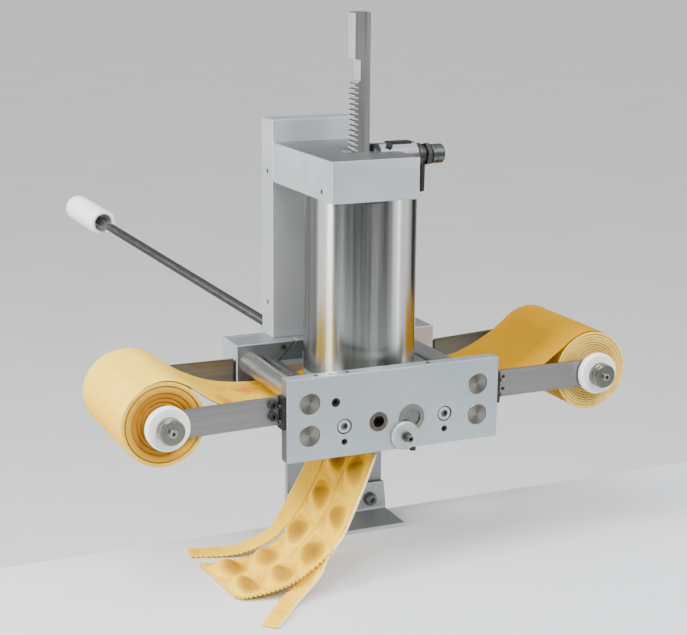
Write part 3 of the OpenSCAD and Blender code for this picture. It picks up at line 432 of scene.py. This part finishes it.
    # painted light: faces turned up are painted lighter
    top = m.rng(m.normal_xyz()[2], 0, 0.55, 0.2, 0.95)
    m.color(m.mix(top, m.base, (0.50, 0.255, 0.004)))
    out["golden_dough"] = m.m
    # pressed strip: the tone darkens each pocket towards brown, partly filling seen through the dough, partly painted
    # shade on the pocket's shaded side
    m = dough("pressed_dough", (0.92, 0.595, 0.030), (0.86, 0.52, 0.016), (0.72, 0.37, 0.006), (0.94, 0.71, 0.11))
    t = m.math("MULTIPLY", m.tone, m.rng(m.noise(60, 4, 0.65), 0.78, 1.0, 0.35, 0.65))
    m.color(m.mix(t, m.base, (0.27, 0.105, 0.002)))
    out["pressed_dough"] = m.m
    m = dough("trim_dough", (0.92, 0.585, 0.028), (0.86, 0.515, 0.016), (0.74, 0.38, 0.008), (0.92, 0.69, 0.11))
    m.color(m.mix(m.math("MULTIPLY", m.tone, 0.85), m.base, (0.92, 0.80, 0.46)))
    out["trim_dough"] = m.m

    # the cut ends of a rolled sheet: darker towards the middle
    for nm, cx, cz, a, bcol, inn in (("dough_end_left", -0.21225, 0.1569, (0.62, 0.33, 0.022), (0.46, 0.20, 0.007), ((0.30, 0.11, 0.004), (0.48, 0.21, 0.010))),
                                     ("dough_end_right", 0.21575, 0.1591, (0.84, 0.58, 0.13), (0.58, 0.30, 0.04), ((0.58, 0.31, 0.04), (0.78, 0.54, 0.14)))):
        dm = dough(nm, a, a, bcol, (0.84, 0.58, 0.16))
        x, y, z = dm.xyz()
        u = dm.math("SUBTRACT", x, cx)
        v = dm.math("SUBTRACT", z, cz)
        r = dm.math("SQRT", dm.math("ADD", dm.math("MULTIPLY", u, u), dm.math("MULTIPLY", v, v)))
        inner = dm.mix(dm.noise(160, 3, 0.6), inn[0], inn[1])
        c = dm.mix(dm.rng(r, 0.85, 0.0, 0.026, 0.0305), dm.base, inner)
        if nm == "dough_end_left":
            c = dm.mix(dm.rng(r, 0, 0.9, 0.0341, 0.0350), c, (0.82, 0.54, 0.09))
            # painted shade: a thin dark ring along the gap between the outer turn and the next
            c = dm.mix(dm.math("MULTIPLY", dm.rng(r, 0, 1, 0.0331, 0.0335), dm.rng(r, 1, 0, 0.0339, 0.0343)), c, (0.20, 0.085, 0.004))
        # thin layers, seen as broken brown lines
        wob = dm.math("MULTIPLY", dm.noise(55, 3, 0.6), 0.0022)
        ln = dm.math("SINE", dm.math("MULTIPLY", dm.math("ADD", r, wob), 2 * math.pi / 0.00115))
        brk = dm.rng(dm.noise(210, 3, 0.7), 0, 1, 0.45, 0.62)
        c = dm.mix(dm.math("MULTIPLY", dm.rng(ln, 0, 0.75, 0.55, 0.95), brk), c, (0.38, 0.17, 0.03))
        dm.color(c)
        out[nm] = dm.m

    # table and room floor: pale laminate with a faint grain
    m = M("pale_table", IOR=1.45)
    n = m.noise(5, 4, 0.6)
    f = m.noise(220, 3, 0.6)
    m.color(m.mix(m.rng(n, 0, 1), (0.69, 0.72, 0.755), (0.75, 0.775, 0.805)))
    m.rough(m.rng(f, 0.42, 0.52))
    m.bump(f, 0.03, 0.0003)
    out["pale_table"] = m.m
    m = M("pale_floor", Roughness=0.7)
    n = m.noise(3, 4, 0.6)
    m.color(m.mix(m.rng(n, 0, 1), (0.90, 0.90, 0.90), (0.94, 0.94, 0.94)))
    out["pale_floor"] = m.m
    return out


MAT = make_materials()

BY_NODE = {
    "front_plate": "anodised_front", "gear_housing": "anodised_housing", "housing_cover": "anodised_housing", "column": "anodised_column", "support_plate": "anodised_leg", "filling_cylinder": "polished_tube", "tie_bars": "tie_bar_steel",
    "rack_bar": "rack_steel", "crank_rod": "rod_steel", "crank_arm": "steel_z", "release_lever": "lever_steel",
    "arm_front_left": "arm_steel", "arm_front_right": "arm_steel", "arm_rear_left": "arm_rear_steel", "arm_rear_right": "arm_rear_steel", "front_bush_right": "ring_steel", "die_roll_left": "die_steel",
    "hopper_base": "anodised_painted_shade",
    "front_bush_left": "dark_bush", "guide_bars": "steel_y", "clamp_disc": "satin_disc", "foot_bracket": "foot_zinc",
    "spindle_knob_left": "knob_left", "spindle_knob_right": "knob_right", "scraper_blades": "steel_y",
    "brake_plunger": "steel_x", "brake_nut": "nut_steel", "die_roll_right": "journal_steel", "clamp_stud": "stud_steel", "bracket_bolts": "bolt_steel", "cap_screws": "cap_zinc", "tension_knob": "dark_knob", "brake_spring": "steel_x",
    "spindle_left": "steel_y", "spindle_right": "steel_y",
}
BY_SLOT = {"anodised_aluminium": "anodised_aluminium", "polished_steel": "polished_steel", "bar_steel": "steel_y", "zinc_steel": "zinc_steel",
           "bronze": "bronze", "blackened_steel": "blackened_steel", "white_nylon": "white_nylon", "seal_rubber": "seal_rubber",
           "egg_dough": "egg_dough", "golden_dough": "golden_dough"}
for name, o in nodes.items():
    mt = MAT[BY_NODE.get(name) or BY_SLOT[SLOT[name]]]
    if not o.material_slots:
        o.data.materials.append(mt)
    for s in o.material_slots:
        s.material = mt


# ------------------------------------------------------------------ mesh help
def new_obj(name, verts, faces, mats, smooth=True, face_mat=None):
    me = bpy.data.meshes.new(name)
    me.from_pydata([tuple(v) for v in verts], [], faces)
    me.update()
    ob = bpy.data.objects.new(name, me)
    bpy.context.scene.collection.objects.link(ob)
    for m in mats:
        me.materials.append(MAT[m])
    if face_mat is not None:
        for p, k in zip(me.polygons, face_mat):
            p.material_index = k
    if smooth:
        for p in me.polygons:
            p.use_smooth = True
    bm = bmesh.new()
    bm.from_mesh(me)
    bmesh.ops.recalc_face_normals(bm, faces=bm.faces)
    bm.to_mesh(me)
    bm.free()
    return ob


def nz(x, y, z, s=1.0):
    """Smooth noise from -1 to 1."""
    return mnoise.noise(Vector((x * s, y * s, z * s)))


def spline(pts, n):
    """n points along a centripetal curve through pts, evenly spaced by length."""
    p = np.array(pts, float)
    d = np.r_[0, np.cumsum(np.sqrt(np.linalg.norm(np.diff(p[:, :3], axis=0), axis=1)))]
    m = np.zeros_like(p)
    m[1:-1] = (p[2:] - p[:-2]) / (d[2:] - d[:-2])[:, None]
    m[0] = (p[1] - p[0]) / (d[1] - d[0])
    m[-1] = (p[-1] - p[-2]) / (d[-1] - d[-2])
    t = np.linspace(0, d[-1], 2000)
    k = np.clip(np.searchsorted(d, t, side="right") - 1, 0, len(d) - 2)
    h = (d[k + 1] - d[k])
    s = ((t - d[k]) / h)[:, None]
    h = h[:, None]
    c = (2 * s**3 - 3 * s**2 + 1) * p[k] + (s**3 - 2 * s**2 + s) * h * m[k] + (-2 * s**3 + 3 * s**2) * p[k + 1] + (s**3 - s**2) * h * m[k + 1]
    L = np.r_[0, np.cumsum(np.linalg.norm(np.diff(c[:, :3], axis=0), axis=1))]
    q = np.linspace(0, L[-1], n)
    return np.stack([np.interp(q, L, c[:, i]) for i in range(c.shape[1])], 1), q


def slab(name, top, bot, mats, rim_mat=0, tone=None):
    """Closed shell from two grids of points (rows x columns) with a rim."""
    nr, nc = top.shape[:2]
    V = np.concatenate([top.reshape(-1, 3), bot.reshape(-1, 3)])
    o = nr * nc
    F, FM = [], []
    for i in range(nr - 1):
        for j in range(nc - 1):
            a, b, c, d = i * nc + j, i * nc + j + 1, (i + 1) * nc + j + 1, (i + 1) * nc + j
            F.append((a, b, c, d)); FM.append(0)
            F.append((a + o, d + o, c + o, b + o)); FM.append(0)
    def rim(a, b):
        F.append((a, a + o, b + o, b)); FM.append(rim_mat)
    for i in range(nr - 1):
        rim(i * nc, (i + 1) * nc)
        rim((i + 1) * nc + nc - 1, i * nc + nc - 1)
    for j in range(nc - 1):
        rim(j + 1, j)
        rim((nr - 1) * nc + j, (nr - 1) * nc + j + 1)
    ob = new_obj(name, V, F, mats, True, FM)
    if tone is not None:
        at_ = ob.data.attributes.new("tone", "FLOAT", "POINT")
        at_.data.foreach_set("value", np.concatenate([tone.reshape(-1), tone.reshape(-1)]).astype(np.float32))
    return ob


# ------------------------------------------------------------------ dough rolls
def dough_roll(name, cx, zc, body, node, side_mat, end_mat, seed, turns, sunk):
    """A sheet wound round the spindle: an outer turn and closed turns nested inside it, with uneven ends."""
    y0, y1 = -0.117, 0.004
    r_out = 38.0 * MM
    V, F, FM = [], [], []

    def ribbon(radius, th0, th1, closed, thick, tag, inset0):
        n = int(abs(th1 - th0) / (2 * math.pi) * 72) + 1
        base = len(V)
        prof = []
        rows = 15
        rnd = 0.9 * MM
        ths = np.linspace(th0, th1, n, endpoint=not closed)
        for k, th in enumerate(ths):
            r = radius(th)
            inset = inset0
            ya = y0 + inset + (0.42 * MM * nz(math.cos(th) * 2 + seed, math.sin(th) * 2, r * 260 + tag))
            yb = y1 - inset - (0.42 * MM * nz(math.cos(th) * 2 - seed, math.sin(th) * 2, r * 260 - tag))
            ri, ro = r - thick, r
            lump = [0.18 * MM * nz(math.cos(th) * 1.4, math.sin(th) * 1.4, q * 3 + seed) for q in range(rows)]
            ring = []
            for q in range(rows):
                t = q / (rows - 1)
                y = ya + rnd * 0.9 + (yb - ya - 1.8 * rnd) * t
                ring.append((ro - 0.2 * MM + (lump[q] if tag == 0 else 0), y))
            ring.append((ro - 0.35 * MM, yb - 0.3 * MM))
            ring.append((ro - min(1.1 * MM, thick * 0.42), yb))
            ring.append((ri + min(1.0 * MM, thick * 0.36), yb))
            ring.append((ri + 0.25 * MM, yb - 0.4 * MM))
            ring.append((ri, yb - 1.2 * rnd))
            ring.append((ri, ya + 1.2 * rnd))
            ring.append((ri + 0.25 * MM, ya + 0.4 * MM))
            ring.append((ri + min(1.0 * MM, thick * 0.36), ya))
            ring.append((ro - min(1.1 * MM, thick * 0.42), ya))
            ring.append((ro - 0.35 * MM, ya + 0.3 * MM))
            for rad, y in ring:
                V.append((cx + rad * math.cos(th), y, zc + rad * math.sin(th)))
            prof.append(len(ring))
        m = prof[0]
        cnt = len(ths)
        for k in range(cnt if closed else cnt - 1):
            k2 = (k + 1) % cnt
            for q in range(m):
                q2 = (q + 1) % m
                F.append((base + k * m + q, base + k * m + q2, base + k2 * m + q2, base + k2 * m + q))
                FM.append(1 if q >= rows - 1 and q not in (rows + 4,) else 0)
        if not closed:
            F.append(tuple(base + q for q in range(m)))
            F.append(tuple(base + (cnt - 1) * m + q for q in range(m))[::-1])
            FM.extend([1, 1])

    edge = r_out
    for k, t in enumerate(turns):
        th = max(0.8, t - 0.12) * MM
        drift = 0.0 if k == 0 else 0.10 * MM
        ribbon(lambda a, e=edge, q=drift, k=k: e - q * (0.5 + 0.5 * math.sin(a * 2 + k * 1.7 + seed)), 0, 2 * math.pi, True, th, k,
               0.35 * MM + (sunk * MM if k > 1 else 0.0) + k * 0.08 * MM)
        edge -= t * MM
    ob = new_obj(name, V, F, [side_mat, end_mat], True, FM)
    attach(ob, body)
    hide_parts(node)
    return ob


dough_roll("dough_coil_left", -0.21225, 0.1569, "spindle_l", "dough_roll_left", "egg_dough", "dough_end_left", 1.3, (4.2, 6.1, 4.8, 3.6, 3.4, 3.2), 1.1)
dough_roll("dough_coil_right", 0.21575, 0.1591, "spindle_r", "dough_roll_right", "golden_dough", "dough_end_right", 4.1, (3.1, 2.7, 2.5, 2.5, 2.4, 2.4, 2.4, 2.4, 2.4, 2.4), 0.2)


# ------------------------------------------------------------------ dough sheets
def dough_sheet(name, sx, node, mat, seed):
    cx, cz = (0.21575, 0.1591) if sx > 0 else (0.21225, 0.1569)
    kx, kz = 1.75 * sx, 0.5 + sx * 1.1
    feathers = lambda d: 0.03 + 0.97 * (0.5 - 0.5 * math.cos(math.pi * min(1.0, d / 0.030)))
    pts = []
    # starts as a feathered edge on the roll, behind its top
    for a in np.radians(np.linspace(62, 118, 9)):
        rr = 0.03812 + 0.00115 * feathers((a - math.radians(62)) * 0.0384)
        pts.append((cx + rr * math.cos(a), cz + rr * math.sin(a)))
    for x, z in ((190, 189.3), (180, 181.6), (168, 173.3), (154, 165.8), (140, 159.7), (126, 155.3), (110, 152.5),
                 (95, 151.2), (83.5, 150.9), (70, 151.3), (55, 152.9), (42, 155.3), (32, 157.2), (25, 158.0), (19, 158.1)):
        k = min(1.0, max(0.0, (x - 100) / 90))
        pts.append(((x + kx * k) * MM, (z + kz * k) * MM))
    rc = 17.7
    for a in np.radians(np.linspace(78, 138, 7)):
        pts.append(((16.5 + rc * math.cos(a)) * MM, (140.4 + rc * math.sin(a)) * MM))
    p, q = spline([(x, z, 0.0) for x, z in pts], 190)
    d = np.gradient(p[:, :2], axis=0)
    d /= np.linalg.norm(d, axis=1)[:, None]
    nrm = np.stack([d[:, 1], -d[:, 0]], 1)          # up side
    nrm[nrm[:, 1] < 0] *= -1
    nrm = np.stack([-d[:, 1], d[:, 0]], 1) * np.sign(-d[:, 0:1] + 1e-9) * np.where(True, -1, 1)
    L = q[-1]
    rows = 60
    top = np.zeros((190, rows, 3)); bot = np.zeros((190, rows, 3))
    for i in range(190):
        s = q[i]
        half = 1.15 * MM * feathers(s)
        n2 = np.array([-d[i, 1], d[i, 0]])
        if n2[1] < 0 or (abs(n2[1]) < 0.3 and n2[0] * (p[i, 0] - (cx if s < 0.08 else 0.0165)) < 0):
            n2 = -n2
        free = np.clip((s - 0.035) / 0.03, 0, 1) * np.clip((L - s - 0.06) / 0.03, 0, 1)
        ya = -0.1166 + 0.0009 * nz(s * 40, seed, 0)
        yb = -0.0012 + 0.0009 * nz(s * 40, seed, 5) - 0.0006
        for j in range(rows):
            t = j / (rows - 1)
            edge = min(t, 1 - t) * (yb - ya)
            rr = 1.15 * MM
            rd = math.sqrt(max(0.0, 1 - (1 - min(edge / rr, 1.0)) ** 2)) if edge < rr else 1.0
            y = ya + (yb - ya) * t
            wave = free * (0.55 * MM * nz(s * 26, y * 30, seed) + 0.25 * MM * nz(s * 90, y * 80, seed + 3))
            c = p[i, :2] + n2 * wave
            hh = half * (0.25 + 0.75 * rd)
            a, b = c + n2 * hh, c - n2 * hh
            top[i, j] = (sx * a[0], y, a[1])
            bot[i, j] = (sx * b[0], y, b[1])
    ob = slab(name, top, bot, [mat])
    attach(ob, "frame")
    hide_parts(node)
    return ob


dough_sheet("dough_web_left", -1, "dough_sheet_left", "egg_dough", 2.0)
dough_sheet("dough_web_right", 1, "dough_sheet_right", "golden_dough", 8.0)


# ------------------------------------------------------------------ spring of the rack brake
def brake_coil():
    """Round wire with a closed turn at each end."""
    cy, cz, rad, wire = -0.053, 0.3665, 5.3 * MM, 0.80 * MM
    x0, x1 = 26.15 * MM, 39.45 * MM
    turns, per, seg = 5, 40, 12
    dead = 2.05 * wire
    live = (x1 - x0 - 2 * wire - 2 * dead) / (turns - 2)
    V, F = [], []
    n = turns * per + 1
    for k in range(n):
        t = k / per
        x = x0 + wire + dead * min(t, 1.0) + live * min(max(t - 1.0, 0.0), turns - 2.0) + dead * max(0.0, t - (turns - 1.0))
        a = 2 * math.pi * t
        out = Vector((0, math.cos(a), math.sin(a)))
        side = Vector((1, 0, 0))
        for q in range(seg):
            b = 2 * math.pi * q / seg
            V.append(Vector((x, cy, cz)) + out * (rad + wire * math.cos(b)) + side * (wire * math.sin(b)))
    for k in range(n - 1):
        for q in range(seg):
            q2 = (q + 1) % seg
            F.append((k * seg + q, k * seg + q2, (k + 1) * seg + q2, (k + 1) * seg + q))
    F.append(tuple(range(seg)))
    F.append(tuple((n - 1) * seg + q for q in range(seg))[::-1])
    ob = new_obj("brake_coil", V, F, ["steel_x"])
    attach(ob, "frame")
    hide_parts("brake_spring")
    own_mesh(ob)


brake_coil()


# ------------------------------------------------------------------ pressed strip
ST = [(0, -59, 138, 0, 0), (0, -59, 125, .011, -.004), (-8.2, -61.9, 108.7, .060, .066), (-19.8, -68.4, 94.1, .039, .122), (-31.1, -75.8, 80.7, .032, .169),
      (-42.8, -84.5, 67.6, .044, .212), (-54.7, -93.6, 55.5, .059, .249), (-67.9, -102, 44.3, .090, .268), (-82.8, -108, 33.8, .177, .244),
      (-97.9, -112.2, 22.2, .229, .144), (-114.9, -111.3, 12.9, .193, .049), (-132.6, -107, 7.2, .149, .014), (-150.2, -100.8, 3.4, .092, -.001),
      (-163.2, -89.6, 2.2, -.055, .003)]
NS = 300
sp, sq = spline(ST, NS)
tang = np.gradient(sp[:, :3], axis=0)
tang /= np.linalg.norm(tang, axis=1)[:, None]
wid = np.stack([sp[:, 3], np.ones(NS), sp[:, 4]], 1)
wid /= np.linalg.norm(wid, axis=1)[:, None]
up = np.cross(wid, tang)
up *= np.sign(up[:, 2:3] + 0.6 * up[:, 0:1] * -1 + 1e-9)
up /= np.linalg.norm(up, axis=1)[:, None]
# keep one side all the way down
for i in range(1, NS):
    if up[i] @ up[i - 1] < 0:
        up[i] *= -1
if up[-1][2] < 0:
    up = -up


def pillow(u, v):
    """0 to 1 inside one pocket, u and v from -1 to 1."""
    r = (abs(u) ** 2.3 + abs(v) ** 2.3) ** (1 / 2.3)
    return 0.0 if r >= 1 else (math.cos(r * math.pi) * 0.5 + 0.5) ** 0.72


# middles of the pockets along the strip, far row and near row, mm
ROWS = ((7.5, (22.0, 66.0, 109.0, 151.0, 189.0, 223.0)), (-33.0, (18.0, 62.0, 105.0, 145.0, 181.0, 219.0)))
HIGH = 12.0


def relief(s, w):
    """Height in mm of the pocket relief and a dark tone, at s along and w across the strip: the tone is filling seen
    through the dough plus painted shade on each pocket's near side, and it darkens the seams.
    """
    h, tone = 0.0, 0.0
    row = ROWS[0][1] if w > -13.2 else ROWS[1][1]
    for c, mids in ROWS:
        for a in mids:
            if abs(s - a) > 24:
                continue
            v0 = w - c + 2.5                                  # the crest leans to the near side
            u, v = (s - a) / 18.5, v0 / (19.5 if v0 > 0 else 14.0)
            k = pillow(u, v)
            h = max(h, HIGH * k)
            # painted shade: the tone is shifted to the near side of each pocket, where its slope is shaded, as well as
            # showing the filling
            u2, v2 = (s - a + 3.6) / 13.5, (w - c + 8.0) / 8.6
            tone = max(tone, 1.0 - min(1.0, u2 * u2 + v2 * v2) ** 1.6)
    for c in (27.5, -13.2, -53.0):
        dd = abs(w - c)
        if dd < 1.8:
            h -= (0.60 + 0.40 * math.sin(s * 2 * math.pi / 3.4)) * (1 - dd / 1.8)
            tone = max(tone, 0.42 * (1 - dd / 1.8))
    for a, b in zip(row, row[1:]):
        ds = abs(s - (a + b) / 2)
        if ds < 1.4 and -52 < w < 27:
            h -= (0.20 + 0.25 * math.sin(w * 2 * math.pi / 3.4)) * (1 - ds / 1.4)
            tone = max(tone, 0.22 * (1 - ds / 1.4))
    return h, tone


def strip_central():
    nc = 120
    top = np.zeros((NS, nc, 3)); bot = np.zeros((NS, nc, 3)); tn = np.zeros((NS, nc))
    for i in range(NS):
        s = sq[i]
        zig = 1.75 * (abs(((s / 4.6) % 1.0) - 0.5) * 4 - 1)
        down = np.clip((s - 120) / 15, 0, 1)
        w0 = -53.0 - zig * down
        w1 = 27.4 + zig * np.clip((s - 135) / 15, 0, 1)
        nip = np.clip((s - 4) / 16, 0.28, 1)                 # squeezed thin between the rolls
        for j in range(nc):
            t = j / (nc - 1)
            w = w0 + (w1 - w0) * t
            c = sp[i, :3] + wid[i] * w
            if i > NS - 4:                                   # zigzag cut across the end
                c = c - tang[i] * (1.0 + abs(((w / 4.2) % 1.0) - 0.5) * 2.4) * (i - NS + 4) / 3
            h, tone = relief(s, w)
            edge = min(w - w0, w1 - w)
            rd = math.sqrt(max(0.0, 1 - (1 - min(edge / 1.2, 1)) ** 2))
            th = 1.2 * (0.35 + 0.65 * rd) * nip
            fade = np.clip((s - 12) / 22, 0, 1)
            lump = 0.5 * nz(s * 0.05, w * 0.05, 3) + 0.25 * nz(s * 0.2, w * 0.2, 9)
            hu = th + max(h, -0.9) * fade
            hd = th + (0.30 * max(h, 0) + 0.3 * min(h, 0)) * fade
            a = c + up[i] * (hu + lump * 0.3 * fade)
            b = c - up[i] * hd
            if b[2] < 0.25:
                b[2] = 0.25 + 0.02 * nz(s * 0.1, w * 0.1, 1)
            if a[2] < b[2] + 1.2 and s > 160:
                a[2] = b[2] + 1.2
            top[i, j] = a * MM
            bot[i, j] = b * MM
            tn[i, j] = tone * fade * 0.9
    return slab("ravioli_web", top, bot, ["pressed_dough"], tone=tn)


def band(name, pts, mat, zig_side=None, zig_from=0.0, n=180, nc=22, thick=1.15, lift=0.0):
    """A trimmed edge of dough. pts are (x, y, z, wx, wy, wz, near half width, far half width) stations in mm."""
    p, q = spline(pts, n)
    tg = np.gradient(p[:, :3], axis=0); tg /= np.linalg.norm(tg, axis=1)[:, None]
    wd = p[:, 3:6] / np.linalg.norm(p[:, 3:6], axis=1)[:, None]
    un = np.cross(wd, tg); un /= np.linalg.norm(un, axis=1)[:, None]
    for i in range(1, n):
        if un[i] @ un[i - 1] < 0:
            un[i] *= -1
    if un[-1][2] < 0:
        un = -un
    top = np.zeros((n, nc, 3)); bot = np.zeros((n, nc, 3)); tn = np.zeros((n, nc))
    for i in range(n):
        s = q[i]
        t0, t1 = -p[i, 6], p[i, 7]
        zig = 1.7 * (abs(((s / 4.6) % 1.0) - 0.5) * 4 - 1) * np.clip((s - zig_from) / 12, 0, 1)
        if zig_side == 0: t0 -= zig
        if zig_side == 1: t1 += zig
        for j in range(nc):
            t = j / (nc - 1)
            w = t0 + (t1 - t0) * t
            c = p[i, :3] + wd[i] * w
            edge = min(w - t0, t1 - w)
            rd = math.sqrt(max(0.0, 1 - (1 - min(edge / 1.2, 1)) ** 2))
            th = thick * (0.35 + 0.65 * rd) * (0.3 + 0.7 * np.clip((s - 3) / 14, 0, 1) if lift == 0 else 1.0)
            lump = 0.35 * nz(s * 0.05, w * 0.1, 13) * np.clip(s / 30 - 0.4, 0, 1)
            a = c + un[i] * (th + lump + lift)
            b = c - un[i] * th
            if b[2] < 0.2: b[2] = 0.2
            if a[2] < b[2] + 1.1 and s > 80: a[2] = b[2] + 1.1
            top[i, j] = a * MM
            bot[i, j] = b * MM
            free = (w - t0) if zig_side == 1 else (t1 - w)
            tn[i, j] = max(0.0, 1 - free / 2.2)
    return slab(name, top, bot, [mat], tone=tn)


def at(i, w):
    """Station i of the strip moved w mm across it."""
    x, y, z, a, b = ST[i]
    n = math.sqrt(1 + a * a + b * b)
    return (x + w * a / n, y + w / n, z + w * b / n, a, 1.0, b)


web = strip_central()
far = [at(i, 42.6) + (15.0, 14.4) for i in range(0, 8)]
far += [(-91.5, -70.0, 27.0, .02, 1, -.05, 12, 11.4), (-106.2, -59.6, 13, .05, 1, 0, 11, 11.4), (-124.6, -51, 5, .0, 1, 0, 10.6, 10.6),
        (-143.6, -41, 2, .1, 1, 0, 11, 11), (-163.5, -34, 1.6, .16, 1, 0, 9.8, 9.8)]
far_band = band("trim_far", far, "trim_dough", 0, 128)
near = [at(i, -55.2) + (1.2, 1.4) for i in range(2, 7)]
near += [(-74.5, -150, 27.5, -.1, .97, .2, 3.6, 3.0), (-85, -157.0, 19.5, -.35, .93, .12, 6, 5.0), (-98.5, -161, 10.5, -.5, .86, .05, 8.0, 7.6),
         (-119.8, -175, 3.2, -.62, .78, 0, 8.4, 8.4), (-141, -199.5, 1.8, -.75, .66, 0, 8, 8), (-153, -213, 1.6, -.75, .66, 0, 7.6, 7.6)]
near_band = band("trim_near", near, "trim_dough", 1, 66, lift=0.4)
for ob in (web, far_band, near_band):
    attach(ob, "frame")
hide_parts("ravioli_strip")


# ------------------------------------------------------------------ stage, light, camera
def quad(name, pts, mat):
    me = bpy.data.meshes.new(name)
    me.from_pydata(pts, [], [tuple(range(len(pts)))] if len(pts) == 4 else [])
    ob = bpy.data.objects.new(name, me)
    bpy.context.scene.collection.objects.link(ob)
    me.materials.append(MAT[mat])
    return ob


def box_mesh(name, lo, hi, mat, bevel):
    bm = bmesh.new()
    bmesh.ops.create_cube(bm, size=1.0)
    for v in bm.verts:
        v.co = Vector([(a + b) / 2 + c * (b - a) for a, b, c in zip(lo, hi, v.co)])
    bmesh.ops.bevel(bm, geom=bm.edges, offset=bevel, segments=3, affect="EDGES")
    me = bpy.data.meshes.new(name)
    bm.to_mesh(me)
    bm.free()
    ob = bpy.data.objects.new(name, me)
    bpy.context.scene.collection.objects.link(ob)
    me.materials.append(MAT[mat])
    return ob


box_mesh("table_top", (-0.9, -0.6, -0.03), (0.75, 0.004, 0.0), "pale_table", 0.0015)
# the floor is a wedge behind the table, as wide as the camera needs
wedge = []
for az, d in ((24.38 - 17, 2.7), (24.38 + 17, 2.7), (24.38 + 17, 45), (24.38 - 17, 45)):
    wedge.append((-0.60185 + d * math.sin(math.radians(az)), -1.34552 + d * math.cos(math.radians(az)), -0.75))
quad("room_floor", wedge, "pale_floor")


def area(name, loc, target, size, power, color=(1, 1, 1)):
    l = bpy.data.lights.new(name, "AREA")
    l.shape = "RECTANGLE"
    l.size, l.size_y = size
    l.energy = power
    l.color = color
    o = bpy.data.objects.new(name, l)
    o.location = loc
    o.rotation_euler = (Vector(target) - Vector(loc)).to_track_quat("-Z", "Y").to_euler()
    bpy.context.scene.collection.objects.link(o)
    return o


area("key", (-2.6, -0.17, 1.1), (0, -0.05, 0.2), (0.60, 1.6), 138)
area("fill", (0.3, -1.85, 1.85), (0, -0.05, 0.2), (1.0, 1.0), 69)
area("top", (-0.7, -0.5, 2.2), (0, -0.1, 0.1), (1.1, 1.1), 29)
area("back", (-1.9, 1.5, 1.3), (0, 0, 0.2), (1.2, 1.2), 12)

world = bpy.data.worlds.new("studio")
bpy.context.scene.world = world
world.use_nodes = True
wt = world.node_tree
wt.nodes.clear()
wo = wt.nodes.new("ShaderNodeOutputWorld")
bg = wt.nodes.new("ShaderNodeBackground")
wt.links.new(bg.outputs[0], wo.inputs[0])
tc = wt.nodes.new("ShaderNodeTexCoord")
sep = wt.nodes.new("ShaderNodeSeparateXYZ")
wt.links.new(tc.outputs["Generated"], sep.inputs[0])


def wmath(op, a, b=None):
    n = wt.nodes.new("ShaderNodeMath")
    n.operation = op
    for s, v in zip(n.inputs, (a, b)):
        if v is None:
            continue
        if isinstance(v, bpy.types.NodeSocket):
            wt.links.new(v, s)
        else:
            s.default_value = v
    return n.outputs[0]


# panels of a studio: dark in front, two tall bright panels at the sides, grey behind
ang = wmath("ARCTAN2", sep.outputs[0], wmath("MULTIPLY", sep.outputs[1], -1.0))   # 0 is straight in front, + to the right
rel = wmath("ADD", ang, math.radians(24.4))                                      # 0 is behind the camera, + to its right
turn = wmath("FRACT", wmath("DIVIDE", wmath("ADD", rel, math.pi), 2 * math.pi))
ramp = wt.nodes.new("ShaderNodeValToRGB")
stops = [(0.0, 0.26), (0.085, 0.30), (0.105, 0.40), (0.155, 0.45), (0.17, 0.5), (0.225, 0.55), (0.245, 2.5), (0.312, 2.5), (0.335, 0.20), (0.37, 0.11), (0.43, 0.15), (0.56, 0.15), (0.650, 0.13), (0.685, 0.60),
         (0.715, 2.3), (0.737, 5.0), (0.752, 2.1), (0.815, 1.5), (0.84, 0.9), (0.868, 0.03), (0.885, 0.05), (0.92, 0.24), (1.0, 0.26)]
el = ramp.color_ramp.elements
while len(el) < len(stops):
    el.new(0.5)
for e, (p, c) in zip(el, stops):
    e.position = p
    e.color = (c, c, c * 1.01, 1)
wt.links.new(turn, ramp.inputs["Fac"])
bg.inputs["Strength"].default_value = 1.0
# and a broad white ceiling
high = wt.nodes.new("ShaderNodeMapRange")
for k, v in zip(("From Min", "From Max", "To Min", "To Max"), (0.55, 0.80, 0.0, 1.0)):
    high.inputs[k].default_value = v
high.interpolation_type = "SMOOTHSTEP"
wt.links.new(sep.outputs[2], high.inputs["Value"])
mixw = wt.nodes.new("ShaderNodeMix")
mixw.data_type = "RGBA"
ins = [q for q in mixw.inputs if q.enabled]
wt.links.new(high.outputs["Result"], ins[0])
wt.links.new(ramp.outputs["Color"], ins[1])
ins[2].default_value = (0.95, 0.965, 0.99, 1)
wt.links.new([q for q in mixw.outputs if q.enabled][0], bg.inputs["Color"])

cam = bpy.data.cameras.new("camera")
co = bpy.data.objects.new("camera", cam)
bpy.context.scene.collection.objects.link(co)
R = Vector((0.9116, -0.41099, 0.00793)); U = Vector((0.0911, 0.22078, 0.97106)); Fw = Vector((0.40085, 0.8845, -0.23871))
mat = Matrix(((R.x, U.x, -Fw.x, -0.60185), (R.y, U.y, -Fw.y, -1.34552), (R.z, U.z, -Fw.z, 0.56716), (0, 0, 0, 1)))
co.matrix_world = mat
cam.sensor_width = 36
cam.lens = 1576.12 * 36 / 687
cam.clip_start, cam.clip_end = 0.05, 100
bpy.context.scene.camera = co
